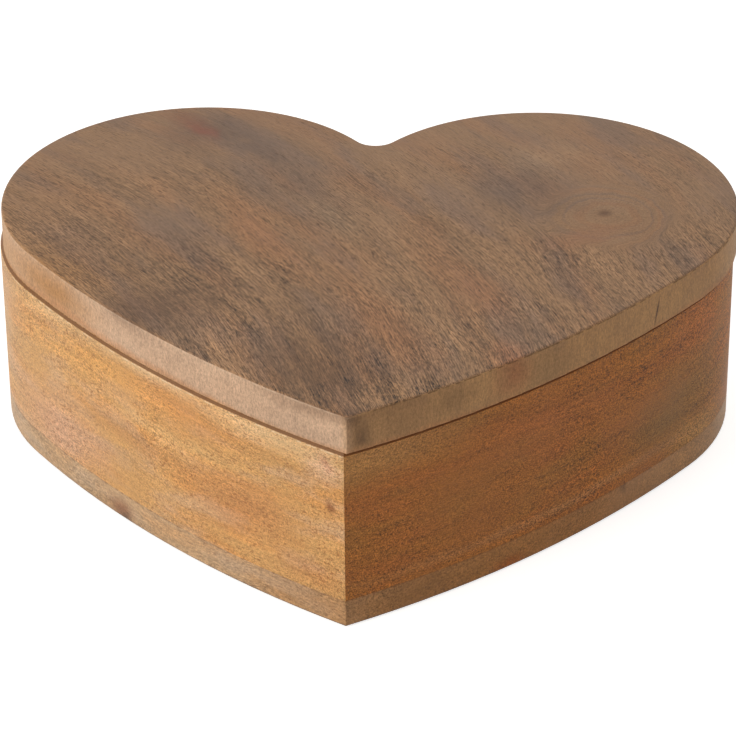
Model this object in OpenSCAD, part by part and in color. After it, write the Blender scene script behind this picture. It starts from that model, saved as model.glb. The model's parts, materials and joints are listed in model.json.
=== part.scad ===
// Heart-shaped hinged wooden music box with a wind-up pinned-cylinder movement.
// Millimetres. +Z up, the point of the heart at -Y, the underside of the base at Z = 0.

/* [Case] */
// width of the case across both lobes
case_w = 200; // [180:1:240]
// how far the circles of the two lobes overlap
lobe_overlap = 15.2; // [8:0.4:30]
// radius of the long side curves
side_r = 303.8; // [260:0.1:360]
// rounding between the lobes at the back
cleft_r = 6; // [0.5:0.1:10]
// thickness of the base panel
base_t = 8; // [6:0.5:12]
// height of the walls between base and lid
wall_h = 44; // [40:0.5:60]
// thickness of the walls
wall_t = 10; // [8:0.5:14]
// chamfer of the walls' upper outer edge
rim_ease = 0.8; // [0.2:0.1:2]
// thickness of the lid
lid_t = 11; // [8:0.5:16]
// rounding of the lid's upper edge
lid_round = 0.8; // [0.5:0.1:4]
// easing of the lid's lower edge
lid_ease = 0.4; // [0.2:0.1:1]
// how far the hand-fitted lid sits to the right of the walls
lid_shift = 0.8; // [0:0.1:2]
// easing of the lower edge of the base
base_round = 0.8; // [0.3:0.1:2]
// gap left round boards that drop into the case
board_gap = 0.2; // [0.1:0.05:0.5]

/* [Compartments] */
// thickness of the dividers
divider_t = 4; // [3:0.5:6]
// depth of the movement's bay in front of the line through the lobes' centres
bay_depth = 26; // [24:0.5:30]
// how far the bedplate's middle is right of the bay's middle
bay_shift = 2; // [0:0.5:3]
// thickness of the board under the movement
board_t = 5; // [4:0.5:8]
// thickness of the clear cover over the movement
cover_t = 2; // [1.5:0.5:4]
// distance from the clear cover down from the rim
cover_drop = 4; // [3:0.5:8]
// width of the ledge under the clear cover
ledge_w = 4; // [3:0.5:6]
// height of the ledge under the clear cover
ledge_h = 5; // [4:0.5:8]
// thickness of the felt in the keepsake tray
felt_t = 1.2; // [0.8:0.1:3]
// radius of the lift hole in the clear cover
lift_r = 6; // [4:0.5:8]

/* [Hinges] */
// length of each hinge
hinge_len = 18; // [12:0.5:30]
// width of a hinge leaf from the back of the case
leaf_w = 8; // [6:0.5:9]
// thickness of a hinge leaf
leaf_t = 0.9; // [0.6:0.1:1.4]
// depth of the mortise for a leaf
mortise_d = 1; // [0.7:0.1:1.6]
// radius of the hinge knuckles
knuckle_r = 1.6; // [1.3:0.1:2.5]
// radius of the hinge pins
hinge_pin_r = 0.75; // [0.5:0.05:1.2]
// distance from the back of the case to the hinge axis
hinge_out = 1.8; // [1.7:0.1:3]
// gap between neighbouring knuckles
knuckle_gap = 0.15; // [0.1:0.05:0.5]
// how far the lid opens, in degrees
lid_open = 95; // [80:1:100]
// radius of the hinge screws' shanks
hinge_screw_r = 0.9; // [0.7:0.1:1.5]
// length of the hinge screws
hinge_screw_len = 7; // [5:0.5:9]

/* [Key and well] */
// radius of the key well in the base
well_r = 17; // [14:0.5:19]
// span of the key's wings
key_span = 24; // [18:0.5:28]
// height of the key
key_h = 10; // [7:0.5:12]
// thickness of the key's wings
key_t = 2; // [1.5:0.1:3]
// radius of the key's hub
key_hub_r = 3.4; // [3:0.1:5]
// gap from the key down to the table
key_lift = 1.5; // [1:0.1:3]
// radius of the holes in the key's wings
key_hole_r = 2; // [1:0.1:3]

/* [Movement plate] */
// thickness of the bedplate
bed_t = 2.5; // [2:0.1:4]
// bedplate's edge left of the arbor
bed_left = 19; // [18:0.5:22]
// bedplate's edge right of the arbor
bed_right = 47; // [46.5:0.5:50]
// bedplate's edge in front of the arbor
bed_front = 20.5; // [20:0.5:24]
// bedplate's edge behind the arbor
bed_back = 24.5; // [24:0.5:26]
// radius of the screws that hold the bedplate
bed_screw_r = 1.5; // [1.2:0.1:2]
// radius of the holes for their heads in the base
bed_head_r = 3.2; // [2.8:0.1:4]
// distance of these screws in from the bedplate's edges
bed_screw_in = 4.5; // [4:0.1:5]
// room kept at the bedplate's back right corner for the governor's foot
governor_room = 15.5; // [14:0.5:17]
// running clearance on each radius of the turning shafts
run_gap = 0.05; // [0.02:0.01:0.09]
// gap between turning pieces and the plates beside them
side_gap = 0.5; // [0.3:0.05:0.8]
// thickness of the sheet metal brackets
sheet_t = 1; // [0.8:0.1:1.5]
// width of the barrel bridge
bridge_w = 8; // [6:0.5:9]
// length of the brackets' feet
foot_l = 4; // [3.6:0.1:4.4]
// width of the near and far brackets
bracket_w = 9; // [8:0.2:9.4]
// metal left round the bearings
bearing_rim = 3.5; // [2.5:0.1:3.5]
// width of the outer bracket
outer_w = 6.4; // [5.6:0.2:7]
// width of the governor frame
frame_w = 5; // [4:0.2:6]
// length of the governor frame's ears
ear_l = 2.8; // [2.6:0.1:3]

/* [Spring barrel] */
// outer radius of the spring barrel
barrel_r = 10; // [9:0.1:11]
// height of the spring barrel
barrel_h = 14; // [12:0.5:16]
// wall of the spring barrel
barrel_wall = 1; // [0.7:0.1:1.5]
// radius of the winding arbor
arbor_r = 1.6; // [1.3:0.1:2]
// radius of the arbor's hub inside the barrel
hub_r = 3; // [2.5:0.1:4]
// radius of the arbor's top pivot
pivot_r = 1; // [0.7:0.1:1.2]
// thickness of the mainspring
spring_t = 0.3; // [0.2:0.05:0.4]
// turns of the mainspring
spring_turns = 7; // [4:1:8]

/* [Gears] */
// module of the barrel and drive gears
drive_m = 0.7; // [0.6:0.05:0.8]
// teeth on the barrel's crown
crown_n = 36; // [30:2:40]
// teeth on the cylinder's drive gear
drive_n = 18; // [16:1:20]
// face width of the drive gear
drive_w = 1.8; // [1.2:0.1:2.4]
// module of the great wheel and its pinion
train_m = 0.4; // [0.35:0.05:0.45]
// teeth on the great wheel
great_n = 40; // [36:1:42]
// teeth on the transfer pinion
pinion_n = 10; // [10:1:12]
// module of the worm and its wheel
worm_m = 0.35; // [0.3:0.05:0.4]
// teeth on the worm wheel
worm_n = 30; // [26:1:32]
// share of half a pitch that a tooth fills
tooth_fill = 0.76; // [0.7:0.01:0.85]
// tooth height above the pitch line, in modules
addendum = 0.8; // [0.7:0.05:1]
// tooth depth below the pitch line, in modules
dedendum = 1.15; // [1.1:0.05:1.3]
// extra distance between meshed gears
mesh_gap = 0.03; // [0:0.01:0.08]
// width of the great wheel
wheel_w = 1; // [0.8:0.1:1.4]
// turns of thread on the worm
worm_turns = 4; // [3:1:5]

/* [Pinned cylinder and comb] */
// radius of the tune cylinder
cyl_r = 6.5; // [6:0.1:7]
// wall of the tune cylinder
cyl_wall = 0.6; // [0.4:0.1:1]
// radius of the cylinder's arbor
cyl_arbor_r = 1; // [0.7:0.1:1.4]
// height of the cylinder's axis above the bedplate
cyl_z = 9.5; // [9.2:0.1:11]
// radius of a tune pin
pin_r = 0.2; // [0.15:0.01:0.25]
// length of a tune pin outside the cylinder
pin_out = 0.6; // [0.4:0.05:0.8]
// pins in each row
row_pins = 5; // [3:1:7]
// notes of the comb
notes = 18; // [12:1:18]
// distance from one comb tooth to the next
note_pitch = 1; // [0.9:0.05:1.1]
// gap between two comb teeth
note_gap = 0.25; // [0.15:0.05:0.4]
// thickness of the comb
comb_t = 0.9; // [0.7:0.1:1.2]
// length of the longest comb tooth
bass_len = 8; // [6:0.5:9]
// length of the shortest comb tooth
treble_len = 5; // [4:0.5:6]
// length of the solid back of the comb
heel_len = 5; // [4:0.5:6]
// gap from comb tips to pin tips
pluck_gap = 0.15; // [0.1:0.05:0.3]

/* [Governor and stop] */
// radius of the air fan
fan_r = 4.6; // [3.5:0.1:5]
// height of the fan's blades
fan_h = 2.5; // [2:0.1:4]
// radius of the governor's shaft
worm_shaft_r = 0.5; // [0.4:0.05:0.6]
// radius of the transfer arbor
transfer_r = 0.6; // [0.5:0.05:0.8]
// radius of the stop rod
rod_r = 1.2; // [1:0.1:1.6]
// width of the stop arm
arm_w = 3.6; // [3.2:0.1:4.4]
// height of the stop rod's collar
collar_h = 0.8; // [0.6:0.1:1.2]
// travel of the stop rod
stop_travel = 2; // [1.5:0.1:2.5]
// gap from the stop arm to the fan while the lid is shut
brake_gap = 0.2; // [0.1:0.05:0.4]
// wire radius of the stop spring
wire_r = 0.2; // [0.15:0.05:0.3]
// radius of the small screws' heads
head_r = 1.25; // [1:0.05:1.6]
// radius of the small screws' shanks
shank_r = 0.6; // [0.5:0.05:0.9]

/* [Hidden] */
$fn = 64;
eps = 0.01;
lobe_r = (case_w + lobe_overlap)/4;
lobe_x = (case_w - lobe_overlap)/4;
// the tangent from lobe to side curve runs along a 3-4-5 triangle
side_cx = lobe_x - 0.8*(side_r - lobe_r);
side_cy = 0.6*(side_r - lobe_r);
// rounded, so that the lobes and the cleft meet along one line
cleft_y = round(1000*sqrt(pow(lobe_r + cleft_r, 2) - pow(lobe_x, 2)))/1000;
tip_y = side_cy - sqrt(pow(side_r, 2) - pow(side_cx, 2));
reach = 1.6*lobe_r;
// each hinge is at the back of its lobe
hinge_x = lobe_x;
hinge_y = lobe_r + hinge_out;
case_y = -(tip_y + hinge_y + knuckle_r)/2;
rim_z = base_t + wall_h;
bay_side = -divider_t/2;
bay_front = -bay_depth;
bay_left = wall_t - case_w/2;
arbor_x = (bay_left + bay_side - bed_right + bed_left)/2 + bay_shift;
cover_z = rim_z - cover_drop - cover_t;
bed_z = base_t + board_t;
mov_z = bed_z + bed_t;
// places below are from the arbor and the bedplate's top
crown_r = drive_m*crown_n/2;
drive_r = drive_m*drive_n/2;
crown_z = cyl_z - drive_r - mesh_gap;
flange_r = crown_r + drive_w/2;
flange_top = crown_z - dedendum*drive_m;
barrel_z = side_gap;
barrel_top = barrel_z + barrel_h;
bridge_z = barrel_top + side_gap;
leg_y = flange_r + 2*side_gap;
near_x = flange_r + 2*side_gap;
cyl_x = near_x + sheet_t + side_gap;
cyl_len = notes*note_pitch;
great_x = cyl_x + cyl_len + side_gap;
far_x = great_x + wheel_w + side_gap;
worm_x = far_x + sheet_t + 3*side_gap;
outer_x = worm_x + wheel_w + 5*side_gap;
worm_ax = worm_x + wheel_w/2;
transfer_y = train_m*(great_n + pinion_n)/2 + mesh_gap;
worm_pr = 3*worm_m;
worm_y = transfer_y + worm_m*worm_n/2 + worm_pr + mesh_gap;
worm_pitch = PI*worm_m;
worm_top = cyl_z + worm_m*(worm_n/2 + 1);
fan_z = max(worm_top, cyl_z + worm_pitch*worm_turns/2) + side_gap;
arm_z = fan_z + fan_h + brake_gap;
top_z = arm_z + sheet_t + stop_travel + side_gap;
rod_y = worm_y - fan_r - rod_r - side_gap;
spring_z = top_z + sheet_t;
spring_h = 2*stop_travel;
frame_y = worm_y + fan_r + 2*side_gap;
ear_back = head_r + 2*side_gap;
// the far bracket stands a little forward, clear of the worm wheel
far_w = bracket_w - 2*side_gap;
far_y = -2*side_gap;
comb_z = cyl_z - comb_t/2;
comb_tip = cyl_r + pin_out + pluck_gap;
comb_back = comb_tip + bass_len + heel_len;
head_h = 0.7;
screw_depth = bed_t - 0.3;
// depth of the screw holes in the comb's block
comb_hole = comb_z - 2*bed_t;

// ---- placing -------------------------------------------------------------
module in_case() translate([0, case_y, 0]) children();
module in_movement() translate([arbor_x, case_y, mov_z]) children();
module both_sides() for (side = [0, 1]) mirror([side, 0, 0]) children();
// a profile in the Y-Z plane, drawn along X from x
module along_x(x, length) translate([x, 0, 0]) rotate([90, 0, 90]) linear_extrude(length) children();
// a round bar along X
module bar_x(x, length, y, z, r) along_x(x, length) translate([y, z]) circle(r);

// ---- heart outline ---------------------------------------------------------
module lobe_sector_2d() polygon([[0, 0], [0.8*2*reach, -0.6*2*reach], [2*reach, 2*reach],
  [-2*lobe_x, 2*cleft_y]]);
module front_region_2d() polygon([[-lobe_x, 0], [lobe_x, 0], [lobe_x + 0.8*reach, -0.6*reach],
  [case_w, -case_w], [-case_w, -case_w], [-lobe_x - 0.8*reach, -0.6*reach]]);
module cleft_region_2d() polygon([[-lobe_x, 0], [lobe_x, 0], [0, cleft_y]]);

// the outline moved inwards by inset, as a true parallel curve
module heart_2d(inset = 0) {
  for (side = [0, 1]) mirror([side, 0]) translate([lobe_x, 0]) intersection() {
    circle(lobe_r - inset);
    lobe_sector_2d();
  }
  intersection() {
    translate([side_cx, side_cy]) circle(side_r - inset);
    translate([-side_cx, side_cy]) circle(side_r - inset);
    front_region_2d();
  }
  difference() {
    cleft_region_2d();
    translate([0, cleft_y]) circle(cleft_r + inset);
  }
}

// a rectangle in radius and height with its outer corners rounded
module rim_profile(r, h, top, bottom) difference() {
  square([r, h]);
  if (top > 0) translate([r - top, h - top]) difference() {
    square(2*top);
    circle(top);
  }
  if (bottom > 0) translate([r - bottom, bottom]) difference() {
    translate([0, -2*bottom]) square(2*bottom);
    circle(bottom);
  }
}

// what the rounded cleft takes away, in radius and height
module cleft_profile(h, top, bottom) {
  translate([0, -1]) square([cleft_r, h + 2]);
  if (top > 0) translate([cleft_r, h - top]) difference() {
    square([top, 2*top]);
    translate([top, 0]) circle(top);
  }
  if (bottom > 0) translate([cleft_r, -bottom]) difference() {
    square([bottom, 2*bottom]);
    translate([bottom, 2*bottom]) circle(bottom);
  }
}

// a heart-shaped board with rounded outer edges
module heart_block(h, top, bottom) {
  both_sides() translate([lobe_x, 0, 0]) intersection() {
    rotate_extrude() rim_profile(lobe_r, h, top, bottom);
    translate([0, 0, -1]) linear_extrude(h + 2) lobe_sector_2d();
  }
  intersection() {
    translate([side_cx, side_cy, 0]) rotate_extrude() rim_profile(side_r, h, top, bottom);
    translate([-side_cx, side_cy, 0]) rotate_extrude() rim_profile(side_r, h, top, bottom);
    translate([0, 0, -1]) linear_extrude(h + 2) front_region_2d();
  }
  difference() {
    linear_extrude(h) cleft_region_2d();
    translate([0, cleft_y, 0]) rotate_extrude() cleft_profile(h, top, bottom);
  }
}

// a rectangle in radius and height with its upper outer corner cut off
module chamfer_profile(r, h, cut) polygon([[0, 0], [r, 0], [r, h - cut], [r - cut, h], [0, h]]);

// the right half of the heart as a block, with the upper outer edge cut off
module half_block(h, cut) {
  translate([lobe_x, 0, 0]) intersection() {
    rotate_extrude() chamfer_profile(lobe_r, h, cut);
    translate([0, 0, -1]) linear_extrude(h + 2) lobe_sector_2d();
  }
  intersection() {
    translate([side_cx, side_cy, 0]) rotate_extrude() chamfer_profile(side_r, h, cut);
    translate([0, 0, -1]) linear_extrude(h + 2) intersection() {
      front_region_2d();
      translate([0, -case_w]) square([2*case_w, case_w]);
    }
  }
  difference() {
    linear_extrude(h) polygon([[0, 0], [lobe_x, 0], [0, cleft_y]]);
    translate([0, cleft_y, 0]) rotate_extrude()
      polygon([[0, -1], [cleft_r, -1], [cleft_r, h - cut], [cleft_r + 2*cut, h + cut], [0, h + cut]]);
  }
}

// ---- wooden case -----------------------------------------------------------
module bed_screw_places() {
  left = -bed_left + bed_screw_in;
  right = bed_right - bed_screw_in;
  front = -bed_front + bed_screw_in;
  back = bed_back - bed_screw_in;
  places = [[left, front], [left, back], [right - governor_room, back], [right, front]];
  for (p = places) translate([arbor_x + p[0], p[1], 0]) children();
}

module base_panel() color("tan") in_case() difference() {
  heart_block(base_t, 0, base_round);
  translate([arbor_x, 0, -1]) cylinder(base_t + 2, r = well_r);
  bed_screw_places() translate([0, 0, -1]) cylinder(base_t + 2, r = bed_head_r);
}

module leaf_seats() both_sides()
  translate([hinge_x - hinge_len/2 - board_gap, lobe_r - leaf_w - board_gap, -mortise_d])
    cube([hinge_len + 2*board_gap, leaf_w + 2*hinge_out, 2*mortise_d]);

module leaf_screw_places() both_sides() for (dx = [-1, 1])
  translate([hinge_x + dx*hinge_len*0.3, lobe_r - leaf_w/2 - 0.5, 0]) children();

module wall(side) color("peru") in_case() difference() {
  translate([0, 0, base_t]) difference() {
    mirror([side > 0 ? 0 : 1, 0, 0]) half_block(wall_h, rim_ease);
    translate([0, 0, -1]) linear_extrude(wall_h + 2) heart_2d(wall_t);
  }
  translate([0, 0, rim_z]) leaf_seats();
  translate([0, 0, rim_z - hinge_screw_len]) leaf_screw_places() cylinder(hinge_screw_len, r = hinge_screw_r);
}
module left_wall() wall(-1);
module right_wall() wall(1);

module bay_2d(inset) intersection() {
  heart_2d(wall_t + inset);
  translate([-case_w, bay_front]) square([case_w + bay_side, case_w]);
}

module mount_board() color("burlywood") in_case() translate([0, 0, base_t]) difference() {
  linear_extrude(board_t) bay_2d(board_gap);
  translate([arbor_x, 0, -1]) cylinder(board_t + 2, r = well_r);
  bed_screw_places() translate([0, 0, -1]) cylinder(board_t + 2, r = bed_screw_r);
}

module divider_side() color("peru") in_case() translate([0, 0, base_t]) linear_extrude(cover_z - base_t)
  intersection() {
    heart_2d(wall_t);
    translate([bay_side, bay_front]) square([divider_t, case_w]);
  }

module divider_front() color("peru") in_case() translate([0, 0, base_t]) linear_extrude(cover_z - base_t)
  intersection() {
    heart_2d(wall_t);
    translate([-case_w, bay_front - divider_t]) square([case_w + divider_t/2, divider_t]);
  }

module cover_ledge() color("burlywood") in_case() translate([0, 0, cover_z - ledge_h]) linear_extrude(ledge_h)
  difference() {
    bay_2d(0);
    heart_2d(wall_t + ledge_w);
  }

module movement_cover() color("azure", 0.4) in_case() translate([0, 0, cover_z]) linear_extrude(cover_t)
  difference() {
    intersection() {
      heart_2d(wall_t + board_gap);
      translate([-case_w, bay_front - divider_t]) square([case_w + divider_t/2, case_w]);
    }
    translate([arbor_x + worm_ax, rod_y]) circle(rod_r + 2*side_gap);
    translate([arbor_x - bed_left/2, bay_front + 1.5*lift_r]) circle(lift_r);
  }

module tray_felt() color("maroon") in_case() translate([0, 0, base_t]) linear_extrude(felt_t) difference() {
  heart_2d(wall_t + board_gap);
  translate([-case_w, bay_front - divider_t - board_gap])
    square([case_w + divider_t/2 + board_gap, case_w]);
}

// ---- hinges ----------------------------------------------------------------
module knuckle_2d() circle(knuckle_r);

// one leaf in its own frame: X along the hinge, Y = 0 at the hinge axis, Z up
module leaf(spans, z0) difference() {
  union() {
    translate([-hinge_len/2, -hinge_out - leaf_w, z0]) cube([hinge_len, leaf_w - 2*knuckle_gap, leaf_t]);
    for (s = spans) {
      along_x(s[0], s[1] - s[0]) knuckle_2d();
      translate([s[0], -hinge_out - leaf_w, z0]) cube([s[1] - s[0], leaf_w + hinge_out, leaf_t]);
    }
  }
  children();
}

mid_half = hinge_len*0.22;
module body_leaf(side) color("goldenrod") in_case() translate([side*hinge_x, hinge_y, rim_z])
  leaf([[-hinge_len/2, -mid_half - knuckle_gap], [mid_half + knuckle_gap, hinge_len/2]], -mortise_d) {
    along_x(-hinge_len, 2*hinge_len) circle(hinge_pin_r);
    for (dx = [-1, 1]) translate([dx*hinge_len*0.3, -hinge_out - leaf_w/2 - 0.5, -2*mortise_d])
      cylinder(4*mortise_d, r = hinge_screw_r);
  }
module lid_leaf(side) color("goldenrod") in_case() translate([side*hinge_x, hinge_y, rim_z])
  leaf([[-mid_half, mid_half]], mortise_d - leaf_t) {
    along_x(-hinge_len, 2*hinge_len) circle(hinge_pin_r + run_gap);
    for (dx = [-1, 1]) translate([dx*hinge_len*0.3, -hinge_out - leaf_w/2 - 0.5, -2*mortise_d])
      cylinder(4*mortise_d, r = hinge_screw_r);
  }
module hinge_pin(side) color("goldenrod") in_case() translate([side*hinge_x, hinge_y, rim_z]) {
  along_x(-hinge_len/2, hinge_len) circle(hinge_pin_r);
  for (x = [-hinge_len/2 - 0.5, hinge_len/2]) along_x(x, 0.5) circle(hinge_pin_r*1.5);
}
module left_body_leaf() body_leaf(-1);
module right_body_leaf() body_leaf(1);
module left_lid_leaf() lid_leaf(-1);
module right_lid_leaf() lid_leaf(1);
module left_hinge_pin() hinge_pin(-1);
module right_hinge_pin() hinge_pin(1);

module body_leaf_screws() color("gold") in_case() translate([0, 0, rim_z]) leaf_screw_places()
  translate([0, 0, -hinge_screw_len]) cylinder(hinge_screw_len - mortise_d + leaf_t, r = hinge_screw_r);
module lid_leaf_screws() color("gold") in_case() translate([0, 0, rim_z]) leaf_screw_places()
  translate([0, 0, mortise_d - leaf_t]) cylinder(hinge_screw_len - mortise_d + leaf_t, r = hinge_screw_r);

module lid_panel() color("rosybrown") in_case() translate([0, 0, rim_z]) difference() {
  translate([lid_shift, 0, 0]) heart_block(lid_t, lid_round, lid_ease);
  leaf_seats();
  leaf_screw_places() cylinder(hinge_screw_len, r = hinge_screw_r);
}

// ---- movement: fixed pieces --------------------------------------------------
module small_screw(depth) {
  translate([0, 0, -depth]) cylinder(depth + eps, r = shank_r);
  difference() {
    cylinder(head_h, r = head_r);
    translate([-head_r, -shank_r/3, head_h/2]) cube([2*head_r, shank_r*2/3, head_h]);
  }
}
module shank_hole(depth) translate([0, 0, -depth]) cylinder(2*depth, r = shank_r);

// screws across the middle of a foot that starts at x
module foot_screw_places(x, y, w) for (side = [-1, 1])
  translate([x + sheet_t + foot_l/2, y + side*(w/2 - head_r - side_gap), 0]) children();
module near_screw_places() foot_screw_places(near_x, 0, bracket_w) children();
module far_screw_places() foot_screw_places(far_x, far_y, far_w) children();
module outer_screw_places() foot_screw_places(outer_x, transfer_y, outer_w) children();
module governor_screw_places() for (side = [-1, 1])
  translate([worm_ax + side*(frame_w + ear_l)/2, frame_y - ear_back, 0]) children();
module bridge_screw_places() for (side = [-1, 1])
  translate([0, side*(leg_y + sheet_t + foot_l/2), 0]) children();
module comb_screw_places() for (k = [0.14, 0.5, 0.86])
  translate([cyl_x + k*cyl_len, -comb_back + heel_len*0.55, 0]) children();
module plate_screw_places() {
  near_screw_places() children();
  far_screw_places() children();
  outer_screw_places() children();
  governor_screw_places() children();
  bridge_screw_places() children();
}

module bedplate() color("silver") in_movement() difference() {
  translate([-bed_left, -bed_front, -bed_t]) cube([bed_left + bed_right, bed_front + bed_back, bed_t]);
  translate([0, 0, -2*bed_t]) cylinder(4*bed_t, r = arbor_r + run_gap);
  plate_screw_places() shank_hole(screw_depth);
  translate([worm_ax, worm_y, -screw_depth]) cylinder(2*bed_t, r = worm_shaft_r + run_gap);
  translate([-arbor_x, 0, -2*bed_t]) bed_screw_places() cylinder(4*bed_t, r = bed_screw_r);
}

module bedplate_screws() color("silver") in_case() translate([0, 0, bed_z]) bed_screw_places() {
  translate([0, 0, -board_t - eps]) cylinder(board_t + bed_t, r = bed_screw_r);
  translate([0, 0, -board_t - 2]) difference() {
    cylinder(2, r = bed_head_r - 2*board_gap);
    translate([-bed_head_r, -0.4, -1]) cube([2*bed_head_r, 0.8, 2]);
  }
}

// an upright of sheet metal with a foot, w wide about y, drawn across X
module upright(x, y, w, height) translate([x, y - w/2, 0]) {
  cube([sheet_t, w, height]);
  cube([sheet_t + foot_l, w, sheet_t]);
}

module barrel_bridge() color("goldenrod") in_movement() difference() {
  union() {
    translate([-bridge_w/2, -leg_y - sheet_t, bridge_z]) cube([bridge_w, 2*(leg_y + sheet_t), sheet_t]);
    for (side = [0, 1]) mirror([0, side, 0]) translate([-bridge_w/2, leg_y, 0]) {
      cube([bridge_w, sheet_t, bridge_z + sheet_t]);
      cube([bridge_w, sheet_t + foot_l, sheet_t]);
    }
  }
  translate([0, 0, bridge_z - 1]) cylinder(sheet_t + 2, r = pivot_r + run_gap);
  bridge_screw_places() shank_hole(2*sheet_t);
}

module near_bracket() color("goldenrod") in_movement() difference() {
  upright(near_x, 0, bracket_w, cyl_z + bearing_rim);
  bar_x(near_x - 1, sheet_t + 2, 0, cyl_z, cyl_arbor_r + run_gap);
  near_screw_places() shank_hole(2*sheet_t);
}

module far_bracket() color("goldenrod") in_movement() difference() {
  union() {
    upright(far_x, far_y, far_w, cyl_z + bearing_rim);
    translate([far_x, far_y - far_w/2, cyl_z - bearing_rim])
      cube([sheet_t, transfer_y + bearing_rim - far_y + far_w/2, 2*bearing_rim]);
  }
  bar_x(far_x - 1, sheet_t + 2, 0, cyl_z, cyl_arbor_r + run_gap);
  bar_x(far_x - 1, sheet_t + 2, transfer_y, cyl_z, transfer_r + run_gap);
  far_screw_places() shank_hole(2*sheet_t);
}

module outer_bracket() color("goldenrod") in_movement() difference() {
  upright(outer_x, transfer_y, outer_w, cyl_z + bearing_rim);
  bar_x(outer_x - 1, sheet_t + 2, transfer_y, cyl_z, transfer_r + run_gap);
  outer_screw_places() shank_hole(2*sheet_t);
}

module governor_frame() color("goldenrod") in_movement() difference() {
  union() {
    translate([worm_ax - frame_w/2, worm_y - frame_w/2, 0])
      cube([frame_w, frame_y - worm_y + frame_w/2, sheet_t]);
    translate([worm_ax - frame_w/2 - ear_l, frame_y - ear_back - ear_l/2, 0])
      cube([frame_w + 2*ear_l, ear_l, sheet_t]);
    translate([worm_ax - frame_w/2, frame_y, 0]) cube([frame_w, sheet_t, top_z + sheet_t]);
    translate([worm_ax - frame_w/2, rod_y - rod_r - 1.4, top_z])
      cube([frame_w, frame_y + sheet_t - rod_y + rod_r + 1.4, sheet_t]);
  }
  translate([worm_ax, worm_y, -1]) cylinder(top_z + 2*sheet_t + 2, r = worm_shaft_r + run_gap);
  translate([worm_ax, rod_y, top_z - 1]) cylinder(sheet_t + 2, r = rod_r + run_gap);
  governor_screw_places() shank_hole(2*sheet_t);
}

module bridge_screws() color("silver") in_movement() translate([0, 0, sheet_t])
  bridge_screw_places() small_screw(screw_depth + sheet_t);
module governor_screws() color("silver") in_movement() translate([0, 0, sheet_t])
  governor_screw_places() small_screw(screw_depth + sheet_t);
module bracket_screws() color("silver") in_movement() translate([0, 0, sheet_t]) {
  near_screw_places() small_screw(screw_depth + sheet_t);
  far_screw_places() small_screw(screw_depth + sheet_t);
  outer_screw_places() small_screw(screw_depth + sheet_t);
}

module comb_block() color("dimgray") in_movement() difference() {
  translate([cyl_x - 1, -comb_back, 0]) cube([cyl_len + 2, heel_len - 0.5, comb_z]);
  translate([0, 0, comb_z]) comb_screw_places() shank_hole(comb_hole);
}

// steel comb, longest tooth at the low end
module comb() color("lightsteelblue") in_movement() translate([0, 0, comb_z]) difference() {
  translate([cyl_x - 1, -comb_back, 0]) cube([cyl_len + 2, comb_back - comb_tip, comb_t]);
  for (i = [0 : notes]) {
    slot = bass_len + (treble_len - bass_len)*i/notes;
    translate([cyl_x + i*note_pitch - note_gap/2, -comb_tip - slot, -1])
      cube([note_gap, slot + 1, comb_t + 2]);
  }
  for (x = [cyl_x - 1 - eps, cyl_x + cyl_len]) translate([x, -comb_tip - treble_len, -1])
    cube([1 + eps, treble_len + 1, comb_t + 2]);
  comb_screw_places() translate([0, 0, -1]) cylinder(comb_t + 2, r = shank_r);
}
module comb_screws() color("silver") in_movement() translate([0, 0, comb_z + comb_t])
  comb_screw_places() small_screw(comb_hole + comb_t - 0.2);

// ---- winder ------------------------------------------------------------------
key_z = key_lift - mov_z;
module winding_arbor() color("silver") in_movement() {
  translate([0, 0, key_z + 1]) cylinder(barrel_top + side_gap/2 - key_z - 1, r = arbor_r);
  translate([0, 0, barrel_z + barrel_wall + run_gap])
    cylinder(barrel_h - 2*barrel_wall - 2*run_gap, r = hub_r);
  translate([0, 0, barrel_top]) cylinder(bridge_z + sheet_t - barrel_top, r = pivot_r);
}

module key_wing_2d() difference() {
  union() {
    translate([key_span/2 - key_h/2, key_h/2]) circle(key_h/2);
    translate([0, key_h/2 - key_h*0.3]) square([key_span/2 - key_h/2, key_h*0.6]);
  }
  translate([key_span/2 - key_h/2, key_h/2]) circle(key_hole_r);
}
module winding_key() color("goldenrod") in_movement() translate([0, 0, key_z]) difference() {
  union() {
    cylinder(key_h, r = key_hub_r);
    for (side = [0, 180]) rotate([0, 0, side]) rotate([90, 0, 0]) translate([0, 0, -key_t/2])
      linear_extrude(key_t) key_wing_2d();
  }
  translate([0, 0, 1]) cylinder(key_h, r = arbor_r);
}

// ---- spring barrel -------------------------------------------------------------
// a rack tooth, across Y and up Z, drawn along X from r0 to r1
module crown_tooth(r0, r1) {
  half = PI*drive_m/4*tooth_fill;
  lean = tan(20);
  tip = addendum*drive_m;
  root = dedendum*drive_m;
  along_x(r0, r1 - r0) translate([0, crown_z]) polygon([[-half - root*lean, -root - eps],
    [half + root*lean, -root - eps], [half - tip*lean, tip], [-half + tip*lean, tip]]);
}

module spring_barrel() color("gold") in_movement() {
  difference() {
    union() {
      translate([0, 0, barrel_z]) cylinder(barrel_h, r = barrel_r);
      translate([0, 0, barrel_z]) cylinder(flange_top - barrel_z, r = flange_r);
    }
    translate([0, 0, barrel_z + barrel_wall]) cylinder(barrel_h, r = barrel_r - barrel_wall);
    cylinder(barrel_h, r = arbor_r + run_gap);
  }
  for (i = [0 : crown_n - 1]) rotate([0, 0, 360*i/crown_n]) crown_tooth(crown_r - drive_w/2, flange_r - 0.05);
}

module barrel_cover() color("gold") in_movement() translate([0, 0, barrel_top - barrel_wall]) difference() {
  cylinder(barrel_wall, r = barrel_r - barrel_wall);
  translate([0, 0, -1]) cylinder(barrel_wall + 2, r = arbor_r + run_gap);
}

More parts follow.
